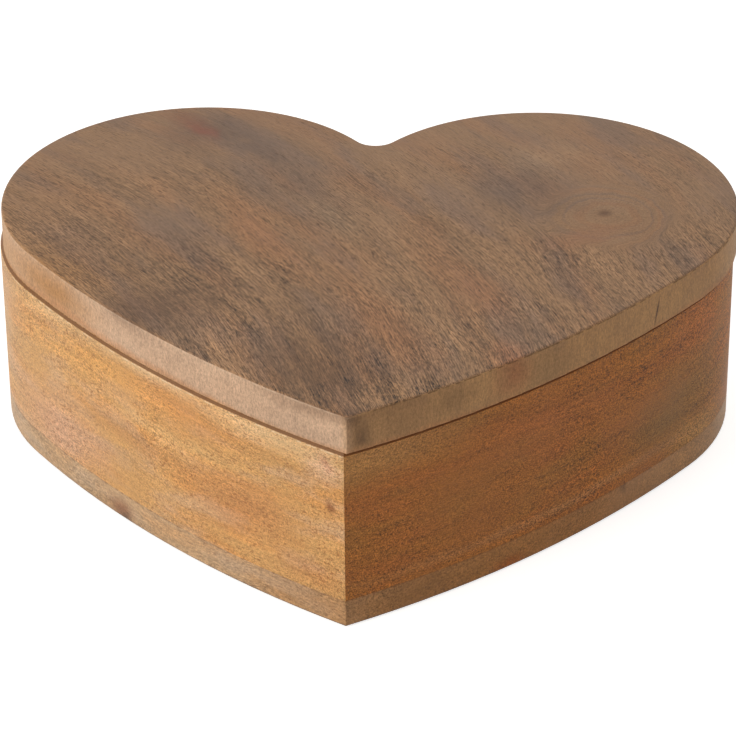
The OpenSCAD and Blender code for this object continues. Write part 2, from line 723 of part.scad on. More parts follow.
// half turns about two centres make the wound strip
module mainspring() color("steelblue") in_movement() translate([0, 0, barrel_z + barrel_wall + side_gap])
  linear_extrude(barrel_h - 2*barrel_wall - 2*side_gap) {
    clear = 3*run_gap;
    step = (barrel_r - barrel_wall - hub_r - spring_t - 2*clear)/(spring_turns + 0.5);
    for (i = [0 : 2*spring_turns - 1]) {
      odd = i % 2;
      r = hub_r + clear + step*(i + 1)/2;
      translate([odd*step/2, 0]) intersection() {
        difference() {
          circle(r + spring_t);
          circle(r);
        }
        translate([-2*barrel_r, odd > 0 ? -2*barrel_r : 0]) square([4*barrel_r, 2*barrel_r]);
      }
    }
  }

// ---- gears ---------------------------------------------------------------------
// spur gear outline with a tooth on +X
module gear_2d(n, m) {
  pitch = m*n/2;
  tip = pitch + addendum*m;
  root = pitch - dedendum*m;
  mid = 90/n*tooth_fill;
  lean = tan(20)*180/PI;
  tip_half = mid - addendum*m*lean/pitch*(1 + 2/n);
  root_half = mid + dedendum*m*lean/pitch*0.5;
  polygon([for (i = [0 : n - 1], p = [[root, -root_half], [pitch, -mid], [tip, -tip_half],
    [tip, tip_half], [pitch, mid], [root, root_half]])
      [p[0]*cos(360*i/n + p[1]), p[0]*sin(360*i/n + p[1])]]);
}

// a thread or coil: section is a list of [radius, height] swept up a helix
module helix(section, pitch, turns, steps) {
  n = round(turns*steps);
  k = len(section);
  points = [for (i = [0 : n], p = section) [p[0]*cos(360*i/steps), p[0]*sin(360*i/steps),
    p[1] + pitch*i/steps]];
  faces = concat([[for (j = [k - 1 : -1 : 0]) j]],
    [for (i = [0 : n - 1], j = [0 : k - 1]) [i*k + j, (i + 1)*k + (j + 1) % k, (i + 1)*k + j]],
    [for (i = [0 : n - 1], j = [0 : k - 1]) [i*k + j, i*k + (j + 1) % k, (i + 1)*k + (j + 1) % k]],
    [[for (j = [0 : k - 1]) n*k + j]]);
  polyhedron(points, faces);
}

// ---- tune cylinder ---------------------------------------------------------------
module tune_cylinder() color("gold") in_movement() {
  difference() {
    bar_x(cyl_x, cyl_len, 0, cyl_z, cyl_r);
    bar_x(cyl_x - 1, cyl_len + 2, 0, cyl_z, cyl_r - cyl_wall);
  }
  for (i = [0 : notes - 1], k = [0 : row_pins - 1])
    translate([cyl_x + (i + 0.5)*note_pitch, 0, cyl_z])
      rotate([45 + 10*((i*i*5 + k*7 + i) % 36), 0, 0])
        translate([0, 0, cyl_r - cyl_wall/2]) cylinder(pin_out + cyl_wall/2, r = pin_r, $fn = 6);
}

module cylinder_end_caps() color("gold") in_movement() for (x = [cyl_x, cyl_x + cyl_len - cyl_wall])
  difference() {
    bar_x(x, cyl_wall, 0, cyl_z, cyl_r - cyl_wall);
    bar_x(x - 1, cyl_wall + 2, 0, cyl_z, cyl_arbor_r);
  }

module cylinder_arbor() color("silver") in_movement()
  bar_x(crown_r - drive_w/2 - 0.4, far_x + sheet_t + 0.4 - crown_r + drive_w/2 + 0.4, 0, cyl_z, cyl_arbor_r);

module drive_gear() color("gold") in_movement() difference() {
  translate([0, 0, cyl_z]) along_x(crown_r - drive_w/2, drive_w) gear_2d(drive_n, drive_m);
  bar_x(crown_r - drive_w, 2*drive_w, 0, cyl_z, cyl_arbor_r);
}

module great_wheel() color("gold") in_movement() difference() {
  translate([0, 0, cyl_z]) along_x(great_x, wheel_w) gear_2d(great_n, train_m);
  bar_x(great_x - 1, wheel_w + 2, 0, cyl_z, cyl_arbor_r);
}

// ---- governor ----------------------------------------------------------------------
module transfer_arbor() color("silver") in_movement()
  bar_x(great_x - 0.7, outer_x + sheet_t + 0.4 - great_x + 0.7, transfer_y, cyl_z, transfer_r);

module transfer_pinion() color("gold") in_movement() difference() {
  translate([0, transfer_y, cyl_z]) along_x(great_x - 0.2, wheel_w + 0.4)
    rotate(180/pinion_n) gear_2d(pinion_n, train_m);
  bar_x(great_x - 1, wheel_w + 2, transfer_y, cyl_z, transfer_r);
}

module worm_wheel() color("gold") in_movement() difference() {
  translate([0, transfer_y, cyl_z]) along_x(worm_x, wheel_w) gear_2d(worm_n, worm_m);
  bar_x(worm_x - 1, wheel_w + 2, transfer_y, cyl_z, transfer_r);
}

module worm_shaft() color("silver") in_movement() translate([worm_ax, worm_y, 0]) {
  half = worm_pitch/4*tooth_fill;
  lean = tan(20)*worm_m;
  root_r = worm_pr - dedendum*worm_m;
  translate([0, 0, 0.2 - screw_depth]) cylinder(top_z + sheet_t + screw_depth - 0.2, r = worm_shaft_r);
  translate([0, 0, cyl_z - worm_pitch*(worm_turns + 2)/2])
    cylinder(worm_pitch*(worm_turns + 2), r = root_r, $fn = 16);
  translate([0, 0, cyl_z - worm_pitch*worm_turns/2]) rotate([0, 0, 90])
    helix([[root_r*0.8, -half - dedendum*lean], [worm_pr + addendum*worm_m, -half + addendum*lean],
      [worm_pr + addendum*worm_m, half - addendum*lean], [root_r*0.8, half + dedendum*lean]],
      worm_pitch, worm_turns, 16);
}

module air_fan() color("lightgray") in_movement() translate([worm_ax, worm_y, fan_z]) difference() {
  union() {
    cylinder(fan_h, r = 3*worm_shaft_r);
    translate([-fan_r, -sheet_t/4, 0]) cube([2*fan_r, sheet_t/2, fan_h]);
  }
  translate([0, 0, -1]) cylinder(fan_h + 2, r = worm_shaft_r);
}

// ---- stop --------------------------------------------------------------------------
module stop_rod() color("silver") in_movement() translate([worm_ax, rod_y, 0]) {
  translate([0, 0, arm_z - collar_h]) cylinder(rim_z - mov_z - arm_z + collar_h, r = rod_r);
  translate([0, 0, spring_z + spring_h]) cylinder(collar_h, r = rod_r + collar_h);
}

module stop_arm() color("goldenrod") in_movement() translate([worm_ax, rod_y, arm_z]) difference() {
  translate([-arm_w/2, -rod_r - sheet_t, 0])
    cube([arm_w, worm_y - rod_y + rod_r + sheet_t - 3*worm_shaft_r - 2*brake_gap, sheet_t]);
  translate([0, 0, -1]) cylinder(sheet_t + 2, r = rod_r);
}

module stop_spring() color("silver") in_movement() translate([worm_ax, rod_y, spring_z + wire_r + run_gap])
  helix([for (j = [0 : 3]) [rod_r + 0.15 + wire_r + wire_r*cos(90*j), wire_r*sin(90*j)]],
    (spring_h - 2*wire_r - 2*run_gap)/5, 5, 16);

// ---- drawing -------------------------------------------------------------------------
base_panel();
left_wall();
right_wall();
mount_board();
divider_side();
divider_front();
cover_ledge();
movement_cover();
tray_felt();
left_body_leaf();
right_body_leaf();
body_leaf_screws();
left_hinge_pin();
right_hinge_pin();
lid_panel();
left_lid_leaf();
right_lid_leaf();
lid_leaf_screws();
bedplate();
bedplate_screws();
barrel_bridge();
bridge_screws();
near_bracket();
far_bracket();
outer_bracket();
bracket_screws();
comb_block();
comb();
comb_screws();
governor_frame();
governor_screws();
winding_arbor();
winding_key();
spring_barrel();
barrel_cover();
mainspring();
tune_cylinder();
cylinder_end_caps();
cylinder_arbor();
drive_gear();
great_wheel();
transfer_arbor();
transfer_pinion();
worm_wheel();
worm_shaft();
air_fan();
stop_rod();
stop_arm();
stop_spring();
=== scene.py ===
import json
import math

import bmesh
import bpy
from mathutils import Matrix, Vector


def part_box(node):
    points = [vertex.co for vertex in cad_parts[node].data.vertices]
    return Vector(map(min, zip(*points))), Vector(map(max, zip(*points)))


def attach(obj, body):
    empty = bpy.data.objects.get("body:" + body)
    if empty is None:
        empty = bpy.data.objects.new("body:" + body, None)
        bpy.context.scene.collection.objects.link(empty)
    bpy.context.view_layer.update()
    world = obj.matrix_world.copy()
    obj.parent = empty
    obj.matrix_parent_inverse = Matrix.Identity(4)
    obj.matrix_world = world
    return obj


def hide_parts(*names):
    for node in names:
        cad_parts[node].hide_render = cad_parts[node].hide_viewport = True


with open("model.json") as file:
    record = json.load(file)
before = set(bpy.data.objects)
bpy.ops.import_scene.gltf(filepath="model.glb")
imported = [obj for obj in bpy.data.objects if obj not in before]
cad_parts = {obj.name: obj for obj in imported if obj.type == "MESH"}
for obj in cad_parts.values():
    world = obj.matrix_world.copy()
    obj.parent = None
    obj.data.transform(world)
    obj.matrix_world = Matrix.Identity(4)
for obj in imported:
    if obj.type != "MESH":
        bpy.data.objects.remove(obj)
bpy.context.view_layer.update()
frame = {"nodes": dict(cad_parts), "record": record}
nodes = frame["nodes"]
print("frame loaded")

mm = 0.001  # in metres
touching = 1e-6  # corners of a mesh that lie this close count as one

# settings that many nodes share
plus = {"operation": "ADD"}
minus = {"operation": "SUBTRACT"}
times = {"operation": "MULTIPLY"}
timesPlus = {"operation": "MULTIPLY_ADD"}
over = {"operation": "DIVIDE"}
scaled = {"operation": "SCALE"}
within = {"operation": "COMPARE"}
smooth = {"interpolation_type": "SMOOTHSTEP"}
colourMix = {"data_type": "RGBA"}


def linear(hexColour):
    # sRGB hex to the linear colour that Blender wants
    parts = [int(hexColour[i:i + 2], 16) / 255 for i in (1, 3, 5)]
    return [c / 12.92 if c <= 0.04045 else ((c + 0.055) / 1.055) ** 2.4 for c in parts] + [1.0]


def add(tree, kind, settings=None, inputs=None):
    # one node with its settings; an input takes a value, a node or a socket
    node = tree.nodes.new(kind)
    for name, value in (settings or {}).items():
        setattr(node, name, value)
    for key, value in (inputs or {}).items():
        if isinstance(value, bpy.types.Node):
            value = value.outputs[0]
        if isinstance(value, bpy.types.NodeSocket):
            tree.links.new(value, node.inputs[key])
        else:
            node.inputs[key].default_value = value
    return node


def newMaterial(name):
    material = bpy.data.materials.new(name)
    material.use_nodes = True
    tree = material.node_tree
    tree.nodes.clear()
    return material, tree


def newObject(name, data):
    thing = bpy.data.objects.new(name, data)
    bpy.context.scene.collection.objects.link(thing)
    return thing


def newPiece(name, shape, material):
    mesh = bpy.data.meshes.new(name)
    shape.to_mesh(mesh)
    shape.free()
    mesh.materials.append(material)
    return newObject(name, mesh)


def dress(name, material):
    # a CAD node keeps its shape and gets this finish
    mesh = nodes[name].data
    mesh.materials.clear()
    mesh.materials.append(material)


def mergedCopy(name):
    # a bmesh of a CAD node, with the corners of its triangles joined
    shape = bmesh.new()
    shape.from_mesh(nodes[name].data)
    bmesh.ops.remove_doubles(shape, verts=shape.verts, dist=touching)
    return shape


def openTree(name, sizes):
    # a Geometry Nodes tree with an input for each size, the inputs' identifiers, and what it is given
    tree = bpy.data.node_groups.new(name, "GeometryNodeTree")
    tree.interface.new_socket("Geometry", in_out="INPUT", socket_type="NodeSocketGeometry")
    sockets = {
        size: tree.interface.new_socket(size, in_out="INPUT", socket_type="NodeSocketFloat").identifier
        for size in sizes}
    tree.interface.new_socket("Geometry", in_out="OUTPUT", socket_type="NodeSocketGeometry")
    return tree, sockets, add(tree, "NodeGroupInput").outputs


def closeTree(tree, made, material):
    # the tree ends in plain geometry of one material
    whole = add(tree, "GeometryNodeRealizeInstances", {}, {"Geometry": made})
    dressed = add(tree, "GeometryNodeSetMaterial", {}, {"Geometry": whole, "Material": material})
    add(tree, "NodeGroupOutput", {}, {"Geometry": dressed})


def applyTree(piece, tree, sockets, sizes):
    # sets the tree's inputs, turns its result into a plain mesh and removes the modifier
    modifier = piece.modifiers.new(tree.name, "NODES")
    modifier.node_group = tree
    for name, value in sizes.items():
        modifier[sockets[name]] = value
    ready = piece.evaluated_get(bpy.context.evaluated_depsgraph_get())
    mesh = bpy.data.meshes.new_from_object(ready)
    piece.modifiers.remove(modifier)
    piece.data = mesh
    mesh.name = piece.name


# mango wood, sanded and waxed: soft mottled brown, fine fibres, short open pores that hold the dirt
# a size is (along the grain, across it, upwards) in mm, and a tone is how strongly a pattern lightens
# and darkens; a stain is an ellipsoid of colour that fades outwards, and it lies along the grain
# unless turn and tilt swing it
woodWork = {
    "wanderSize": 62.5,  # the fibres wander over this length
    "fraySize": 7.143, "fray": (7.0, 7.0, 3.0),  # the edges of stains fray over this length, this far
    "cloudFrom": 0.45, "cloudTo": 0.68,  # of the noise, where a cloud starts and where it is whole
    "spread": 1.8,  # a stain fades out beyond its size
    # the figure is more or less lively in patches
    "patchSize": 22.22, "patchFrom": 0.3, "patchTo": 0.7, "patchCalm": 0.55, "patchLively": 1.45,
    "gapSize": 2.0, "gapFrom": 0.42, "gapTo": 0.58,  # in the broken lines of dirt, wear and painted highlight
    # pores sit a little below the waxed face, and the wax is duller where they crowd
    "relief": 0.35, "reliefDepth": 0.2, "calmest": 0.5, "shiny": 0.5, "liveliest": 1.5, "dull": 0.6,
    "ior": 1.5, "specular": 0.3,
}
# the lid: stained greyish brown, smoky at the rear, with coarse dark fibres towards the point
lidWood = {
    "name": "mangoWoodWaxed", "grain": -59.0, "bend": 0.0016, "wander": 7.0,
    "base": "#967557",
    "clouds": [
        {"size": (42.0, 13.0, 13.0), "colour": "#a27350", "share": 0.35},
        {"size": (36.0, 10.0, 10.0), "colour": "#7d6657", "share": 0.6},
    ],
    "tones": [
        {"size": (60.0, 5.0, 5.0), "detail": 3.0, "tone": 0.55},
        {"size": (16.0, 0.9, 0.9), "detail": 2.0, "tone": 0.5},
        {"size": (3.6, 0.36, 0.36), "detail": 1.0, "tone": 0.8},
        {"size": (1.2, 0.4, 0.4), "detail": 1.0, "tone": 0.6},
    ],
    "pores": {"size": (2.6, 0.34, 0.34), "colour": "#4e3524", "share": 0.6, "from": 0.58, "to": 0.68},
    # the figure is calm at the rear and coarse at the point
    "calm": {"axis": 1, "from": 60.0, "to": -75.0, "atFrom": 0.6, "atTo": 2.7},
    # rings and crooked end grain, in mm from the knot's middle
    "knot": {
        "at": (64.6, 21.9, 63.0), "heart": 3.8, "reach": 19.0, "rings": 4.4, "ringTone": 0.034,
        "fray": (5.0, 5.0, 2.0), "speckleFrom": 11.4, "speckleTo": 24.7, "speckles": 0.85,
        "tones": [
            {"size": (7.0, 7.0, 7.0), "detail": 2.0, "tone": 0.3},
            {"size": (0.8, 0.8, 0.8), "detail": 1.0, "tone": 0.32},
            {"size": (0.4, 0.4, 0.4), "detail": 1.0, "tone": 0.75},
        ],
    },
    "stains": [
        {"at": (-47.4, 65.0, 63.0), "size": (9.0, 12.0, 2.5), "colour": "#5f4c42", "share": 0.55},
        {"at": (-50.6, 69.4, 63.0), "size": (10.0, 3.4, 2.5), "turn": -52.0, "colour": "#83543c",
         "share": 0.75},
        {"at": (-46.2, 64.6, 63.0), "size": (4.5, 1.8, 2.5), "turn": -48.0, "colour": "#8a4b38",
         "share": 0.45},
        {"at": (-28.0, 9.0, 63.0), "size": (22.0, 6.0, 2.5), "colour": "#ac7850", "share": 0.6},
        {"at": (-19.0, 40.0, 63.0), "size": (22.0, 8.0, 2.5), "colour": "#6b584e", "share": 0.6},
        {"at": (-34.0, 57.0, 63.0), "size": (13.0, 5.0, 2.5), "colour": "#685449", "share": 0.6},
        {"at": (47.9, 54.7, 63.0), "size": (7.0, 10.0, 2.5), "colour": "#a98a6c", "share": 0.6},
        {"at": (43.0, 35.0, 63.0), "size": (12.0, 12.0, 2.5), "colour": "#68554a", "share": 0.65},
        {"at": (58.5, 8.7, 63.0), "size": (4.0, 12.0, 2.5), "colour": "#9f7052", "share": 0.5},
        {"at": (9.0, -42.0, 63.0), "size": (20.0, 6.0, 2.5), "colour": "#a16e4b", "share": 0.55},
        {"at": (31.0, -21.0, 63.0), "size": (14.0, 5.0, 2.5), "colour": "#a16e4b", "share": 0.45},
        {"at": (-55.0, -36.0, 63.0), "size": (9.0, 22.0, 2.5), "colour": "#654c3c", "share": 0.6},
        {"at": (-4.0, -64.0, 63.0), "size": (22.0, 16.0, 2.5), "colour": "#64462f", "share": 0.7},
        {"at": (-86.0, 14.0, 63.0), "size": (22.0, 9.0, 2.5), "colour": "#705b4f", "share": 0.55},
        {"at": (-9.6, 18.1, 63.0), "size": (12.0, 5.0, 2.5), "colour": "#a2886c", "share": 0.5},
        {"at": (41.4, -55.4, 60.0), "size": (9.0, 5.0, 6.0), "colour": "#a3653f", "share": 0.6},
        {"at": (50.0, -46.0, 57.0), "size": (7.0, 7.0, 6.0), "colour": "#7f6446", "share": 0.5},
        {"at": (27.0, -66.0, 59.0), "size": (5.0, 5.0, 4.0), "colour": "#8a6a46", "share": 0.55},
        {"at": (-82.0, -14.0, 56.5), "size": (18.0, 18.0, 6.0), "colour": "#a9773f", "share": 0.85},
        {"at": (-97.0, 16.0, 57.0), "size": (18.0, 18.0, 7.0), "colour": "#b98a58", "share": 0.8},
        {"at": (14.0, -76.0, 57.0), "size": (11.0, 11.0, 12.0), "colour": "#96734f", "share": 0.6},
        # painted shade down the point's right side
        {"at": (3.4, -82.0, 57.0), "size": (2.4, 2.4, 12.0), "colour": "#503a2a", "share": 0.7},
        {"at": (0.0, 0.0, 52.0), "size": (300.0, 300.0, 1.3), "colour": "#bd865a", "share": 0.6},
        # a crack in the right side, and the heart of the knot
        {"at": (77.8, -19.2, 57.0), "size": (0.35, 9.0, 3.3), "turn": 50.4, "tilt": 12.7,
         "colour": "#432a19", "share": 1.0, "sharp": True},
        {"at": (64.6, 21.9, 63.0), "size": (1.7, 1.9, 2.5), "colour": "#63442e", "share": 0.85,
         "sharp": True},
    ],
    # the planed face holds the dark stain, and the sawn sides stay pale
    "side": {
        # the right side's darker, browner colour is painted shade on the side away from the key lamp
        "middle": 57.4, "half": 5.3, "left": "#cbaa8e", "right": "#bd9466", "turnFrom": -1.0, "turnTo": 3.0,
        "clouds": 0.3, "pores": 0.25,
        "tones": [
            {"size": (1.1, 1.1, 7.0), "detail": 2.0, "tone": 0.35},
            {"size": (0.45, 0.45, 0.9), "detail": 1.0, "tone": 0.9},
        ],
    },
    # a broken dark line along the upper edge on the right, and a broken painted highlight along it on the
    # left
    "lines": [
        {"height": 62.55, "half": 0.14, "colour": "#3a2618", "share": 0.6, "side": "right", "broken": True},
        {"height": 62.45, "half": 0.07, "colour": "#e2cab0", "share": 0.4, "side": "left", "broken": True},
    ],
}
# the left wall: pale honey with soft level streaks of orange and straw
leftWood = {
    "name": "mangoWoodHoney", "grain": -44.0, "bend": 0.0, "wander": 12.0,
    "base": "#c99a61",
    "clouds": [
        {"size": (26.0, 26.0, 8.0), "colour": "#d28f4c", "share": 0.45},
        {"size": (20.0, 20.0, 6.0), "colour": "#c8a482", "share": 0.6},
    ],
    "tones": [
        {"size": (60.0, 60.0, 4.0), "detail": 3.0, "tone": 0.55},
        {"size": (16.0, 16.0, 0.8), "detail": 2.0, "tone": 0.5},
        {"size": (1.4, 1.4, 0.6), "detail": 1.0, "tone": 0.7},
        {"size": (0.45, 0.45, 0.4), "detail": 1.0, "tone": 1.3},
    ],
    "pores": {"size": (0.9, 0.9, 0.6), "colour": "#8f5a2f", "share": 0.6, "from": 0.57, "to": 0.68},
    "stains": [
        {"at": (-66.0, -32.0, 43.0), "size": (24.0, 24.0, 8.0), "colour": "#d29b58", "share": 0.65},
        {"at": (-42.4, -54.6, 44.0), "size": (18.0, 18.0, 5.0), "colour": "#d28b48", "share": 0.5},
        {"at": (-79.2, -17.5, 49.0), "size": (20.0, 20.0, 2.5), "colour": "#e6c291", "share": 0.5},
        {"at": (-55.0, -43.0, 50.0), "size": (14.0, 14.0, 2.0), "colour": "#e3c194", "share": 0.6},
        {"at": (-20.0, -72.0, 50.5), "size": (24.0, 24.0, 4.0), "colour": "#dfc094", "share": 0.6},
        {"at": (-81.0, -15.3, 16.0), "size": (18.0, 18.0, 8.0), "colour": "#d0a284", "share": 0.75},
        {"at": (-28.2, -65.9, 24.0), "size": (15.0, 15.0, 7.0), "colour": "#b97a48", "share": 0.6},
        {"at": (-5.2, -81.5, 47.5), "size": (1.6, 1.6, 2.2), "colour": "#a3553e", "share": 0.75},
        {"at": (-6.0, -81.0, 45.5), "size": (5.0, 5.0, 4.0), "colour": "#dcb596", "share": 0.6},
        {"at": (-3.5, -82.5, 34.0), "size": (1.2, 1.2, 1.6), "colour": "#7c4729", "share": 0.8},
        {"at": (-9.6, -78.7, 12.0), "size": (10.0, 10.0, 4.0), "colour": "#b67a48", "share": 0.5},
        {"at": (-98.0, 22.0, 40.0), "size": (22.0, 22.0, 26.0), "colour": "#bd9b78", "share": 0.6},
        {"at": (-61.0, -38.0, 27.0), "size": (26.0, 26.0, 2.6), "colour": "#b98450", "share": 0.55},
        {"at": (-47.0, -50.0, 34.0), "size": (20.0, 20.0, 2.0), "colour": "#dcb57c", "share": 0.5},
    ],
    # painted shade from the lid, with some wax and dirt, on the eased edge in the seam under it, and a
    # painted highlight with some wear on the corner below it
    "lines": [
        {"height": 51.65, "half": 0.3, "colour": "#795131", "share": 0.9},
        {"height": 51.08, "half": 0.14, "colour": "#f0d9b6", "share": 0.7, "broken": True},
        {"height": 8.05, "half": 0.12, "colour": "#7a5030", "share": 0.5, "broken": True},
    ],
}
# the right wall: reddish brown, finely flecked, greener and darker at its far end; it is redder than the
# left wall, and darker partly as painted shade on the side away from the key lamp
rightWoodShaded = {
    "name": "mangoWoodRedShaded", "grain": 44.0, "bend": 0.0, "wander": 12.0,
    "base": "#a86b2e",
    "clouds": [
        {"size": (30.0, 30.0, 10.0), "colour": "#ad6532", "share": 0.35},
        {"size": (22.0, 22.0, 8.0), "colour": "#976c32", "share": 0.4},
    ],
    "tones": [
        {"size": (60.0, 60.0, 4.0), "detail": 3.0, "tone": 0.55},
        {"size": (16.0, 16.0, 0.8), "detail": 2.0, "tone": 0.5},
        {"size": (1.3, 1.3, 0.7), "detail": 1.0, "tone": 0.6},
        {"size": (0.45, 0.45, 0.4), "detail": 1.0, "tone": 2.4},
    ],
    "pores": {"size": (1.4, 1.4, 0.5), "colour": "#6b3c1c", "share": 0.35, "from": 0.58, "to": 0.7},
    "calm": {"axis": 0, "from": 10.0, "to": 60.0, "atFrom": 0.9, "atTo": 1.2},
    "stains": [
        {"at": (81.3, -15.0, 19.0), "size": (16.0, 16.0, 8.0), "colour": "#856432", "share": 0.7},
        {"at": (90.6, -3.0, 27.0), "size": (12.0, 12.0, 9.0), "colour": "#8e6c3a", "share": 0.65},
        {"at": (91.5, -1.6, 10.0), "size": (12.0, 12.0, 5.0), "colour": "#c09659", "share": 0.75},
        {"at": (8.0, -80.0, 49.5), "size": (24.0, 24.0, 7.0), "colour": "#bd8c52", "share": 0.8},
        {"at": (53.2, -45.0, 40.0), "size": (20.0, 20.0, 9.0), "colour": "#b26c36", "share": 0.5},
        {"at": (89.9, -4.0, 45.5), "size": (9.0, 9.0, 9.0), "colour": "#ba7645", "share": 0.6},
        {"at": (60.0, -40.0, 11.0), "size": (60.0, 60.0, 1.4), "colour": "#bd8a56", "share": 0.5},
    ],
    "lines": [
        # painted shade from the lid, with some dirt, on the eased edge in the seam under it, and dirt in the
        # joint to the base
        {"height": 51.6, "half": 0.35, "colour": "#7a4c28", "share": 0.9},
        {"height": 8.05, "half": 0.15, "colour": "#5b3a20", "share": 0.6, "broken": True},
    ],
}
# the base: greyish tan with short dark fibres
baseWood = {
    "name": "mangoWoodTan", "grain": -40.0, "bend": 0.0, "wander": 12.0,
    "base": "#bd9c78",
    "clouds": [
        {"size": (26.0, 14.0, 7.0), "colour": "#bd8d5c", "share": 0.5},
        {"size": (20.0, 12.0, 5.0), "colour": "#b39c84", "share": 0.6},
    ],
    "tones": [
        {"size": (60.0, 6.0, 3.0), "detail": 3.0, "tone": 0.55},
        {"size": (14.0, 1.4, 0.9), "detail": 2.0, "tone": 0.4},
        {"size": (1.6, 0.7, 0.5), "detail": 1.0, "tone": 0.9},
        {"size": (0.5, 0.5, 0.5), "detail": 1.0, "tone": 1.0},
    ],
    "pores": {"size": (2.0, 0.6, 0.5), "colour": "#6f4d31", "share": 0.4, "from": 0.58, "to": 0.7},
    "stains": [
        {"at": (-63.3, -35.1, 3.0), "size": (5.0, 5.0, 2.5), "colour": "#8a5a3c", "share": 0.85},
        {"at": (-62.0, -37.0, 0.5), "size": (3.0, 3.0, 1.5), "colour": "#4a352a", "share": 0.8},
        # painted shade over the right front, the side away from the key lamp
        {"at": (52.0, -60.0, 4.0), "size": (80.0, 44.0, 44.0), "turn": 40.0, "colour": "#a9743a",
         "share": 0.95},
        {"at": (19.0, -72.0, 4.0), "size": (14.0, 9.0, 8.0), "turn": 40.0, "colour": "#93693c",
         "share": 0.6},
        {"at": (40.0, -55.0, 1.0), "size": (5.0, 5.0, 2.0), "colour": "#a45c24", "share": 0.8},
        {"at": (72.4, -25.4, 6.5), "size": (1.6, 1.6, 2.4), "colour": "#4f3522", "share": 0.85},
        {"at": (88.0, -8.0, 5.0), "size": (20.0, 14.0, 5.0), "colour": "#b98d5e", "share": 0.7},
    ],
    # painted contact shadow on the edge it stands on, and dirt in the joint to the walls
    "lines": [
        {"height": 0.35, "half": 0.3, "colour": "#4c382a", "share": 0.6},
        {"height": 7.8, "half": 0.13, "colour": "#7a5030", "share": 0.55, "broken": True},
    ],
}
# birch plywood, planed: pale and plain, with long faint streaks
birchPly = {
    "name": "birchPly", "grain": 0.0, "bend": 0.0, "wander": 6.0,
    "base": "#cdb084",
    "clouds": [
        {"size": (45.0, 20.0, 20.0), "colour": "#c9a271", "share": 0.4},
        {"size": (36.0, 16.0, 16.0), "colour": "#bfa88a", "share": 0.4},
    ],
    "tones": [
        {"size": (70.0, 6.0, 6.0), "detail": 3.0, "tone": 0.4},
        {"size": (14.0, 1.0, 1.0), "detail": 2.0, "tone": 0.4},
        {"size": (3.4, 0.5, 0.5), "detail": 1.0, "tone": 0.6},
    ],
    "pores": {"size": (3.0, 0.5, 0.5), "colour": "#8d6f49", "share": 0.2, "from": 0.6, "to": 0.75},
    "stains": [],
}


def knotOf(tree, knot, wavy, fray, across):
    # near a knot the fibres close into crooked rings and end in the face as speckles
    crooked = add(tree, "ShaderNodeVectorMath", timesPlus, {0: fray, 1: knot["fray"], 2: wavy})
    away = add(tree, "ShaderNodeVectorMath", {"operation": "DISTANCE"}, {0: crooked, 1: knot["at"]})
    away = away.outputs["Value"]
    close = add(tree, "ShaderNodeMapRange", smooth, {
        "Value": away, "From Min": knot["heart"], "From Max": knot["reach"], "To Min": 1.0, "To Max": 0.0})
    across = add(tree, "ShaderNodeMix", {}, {0: close, 2: across, 3: away}).outputs[0]
    rings = add(tree, "ShaderNodeMath", times, {0: away, 1: 2 * math.pi / knot["rings"]})
    rings = add(tree, "ShaderNodeMath", {"operation": "SINE"}, {0: rings})
    rings = add(tree, "ShaderNodeMath", times, {0: rings, 1: close})
    rings = add(tree, "ShaderNodeMath", times, {0: rings, 1: knot["ringTone"]})
    speckled = add(tree, "ShaderNodeMapRange", smooth, {
        "Value": away, "From Min": knot["speckleFrom"], "From Max": knot["speckleTo"],
        "To Min": knot["speckles"], "To Max": 0.0})
    return across, rings, speckled


def groundOf(tree, look):
    # where a point of the wood lies: plain is in mm, wavy wanders with the fibres, frayed is ragged
    # for the edges of stains, and flow is along the grain, across it and upwards
    place = add(tree, "ShaderNodeTexCoord").outputs["Object"]
    plain = add(tree, "ShaderNodeVectorMath", scaled, {0: place, "Scale": 1 / mm})
    middle = (0.5, 0.5, 0.5)  # of a noise
    drift = add(tree, "ShaderNodeTexNoise", {}, {
        "Vector": plain, "Scale": 1 / woodWork["wanderSize"], "Detail": 1.0}).outputs["Color"]
    drift = add(tree, "ShaderNodeVectorMath", minus, {0: drift, 1: middle})
    wavy = add(tree, "ShaderNodeVectorMath", timesPlus, {0: drift, 1: [look["wander"]] * 3, 2: plain})
    fray = add(tree, "ShaderNodeTexNoise", {}, {
        "Vector": plain, "Scale": 1 / woodWork["fraySize"], "Detail": 3.0}).outputs["Color"]
    fray = add(tree, "ShaderNodeVectorMath", minus, {0: fray, 1: middle})
    frayed = add(tree, "ShaderNodeVectorMath", timesPlus, {0: fray, 1: woodWork["fray"], 2: wavy})

    # the grain bends by the square of the way along
    straight = add(tree, "ShaderNodeMapping", {}, {
        "Vector": wavy, "Rotation": (0.0, 0.0, -math.radians(look["grain"]))})
    along, across, deep = add(tree, "ShaderNodeSeparateXYZ", {}, {0: straight}).outputs
    square = add(tree, "ShaderNodeMath", times, {0: along, 1: along})
    across = add(tree, "ShaderNodeMath", timesPlus, {0: square, 1: look["bend"], 2: across}).outputs[0]
    ground = {
        "plain": plain, "wavy": wavy, "frayed": frayed, "onSide": None, "speckled": None,
        "axes": list(add(tree, "ShaderNodeSeparateXYZ", {}, {0: plain}).outputs)}
    if "knot" in look:
        across, ground["rings"], ground["speckled"] = knotOf(tree, look["knot"], wavy, fray, across)
    ground["flow"] = add(tree, "ShaderNodeCombineXYZ", {}, {0: along, 1: across, 2: deep})
    if "side" in look:
        # the sawn sides, and how far they have turned from the left one to the right one, which carries the
        # painted shade of the right side
        side = look["side"]
        ground["onSide"] = add(tree, "ShaderNodeMath", within, {
            0: ground["axes"][2], 1: side["middle"], 2: side["half"]})
        ground["turned"] = add(tree, "ShaderNodeMapRange", {}, {
            "Value": ground["axes"][0], "From Min": side["turnFrom"], "From Max": side["turnTo"]})
    return ground


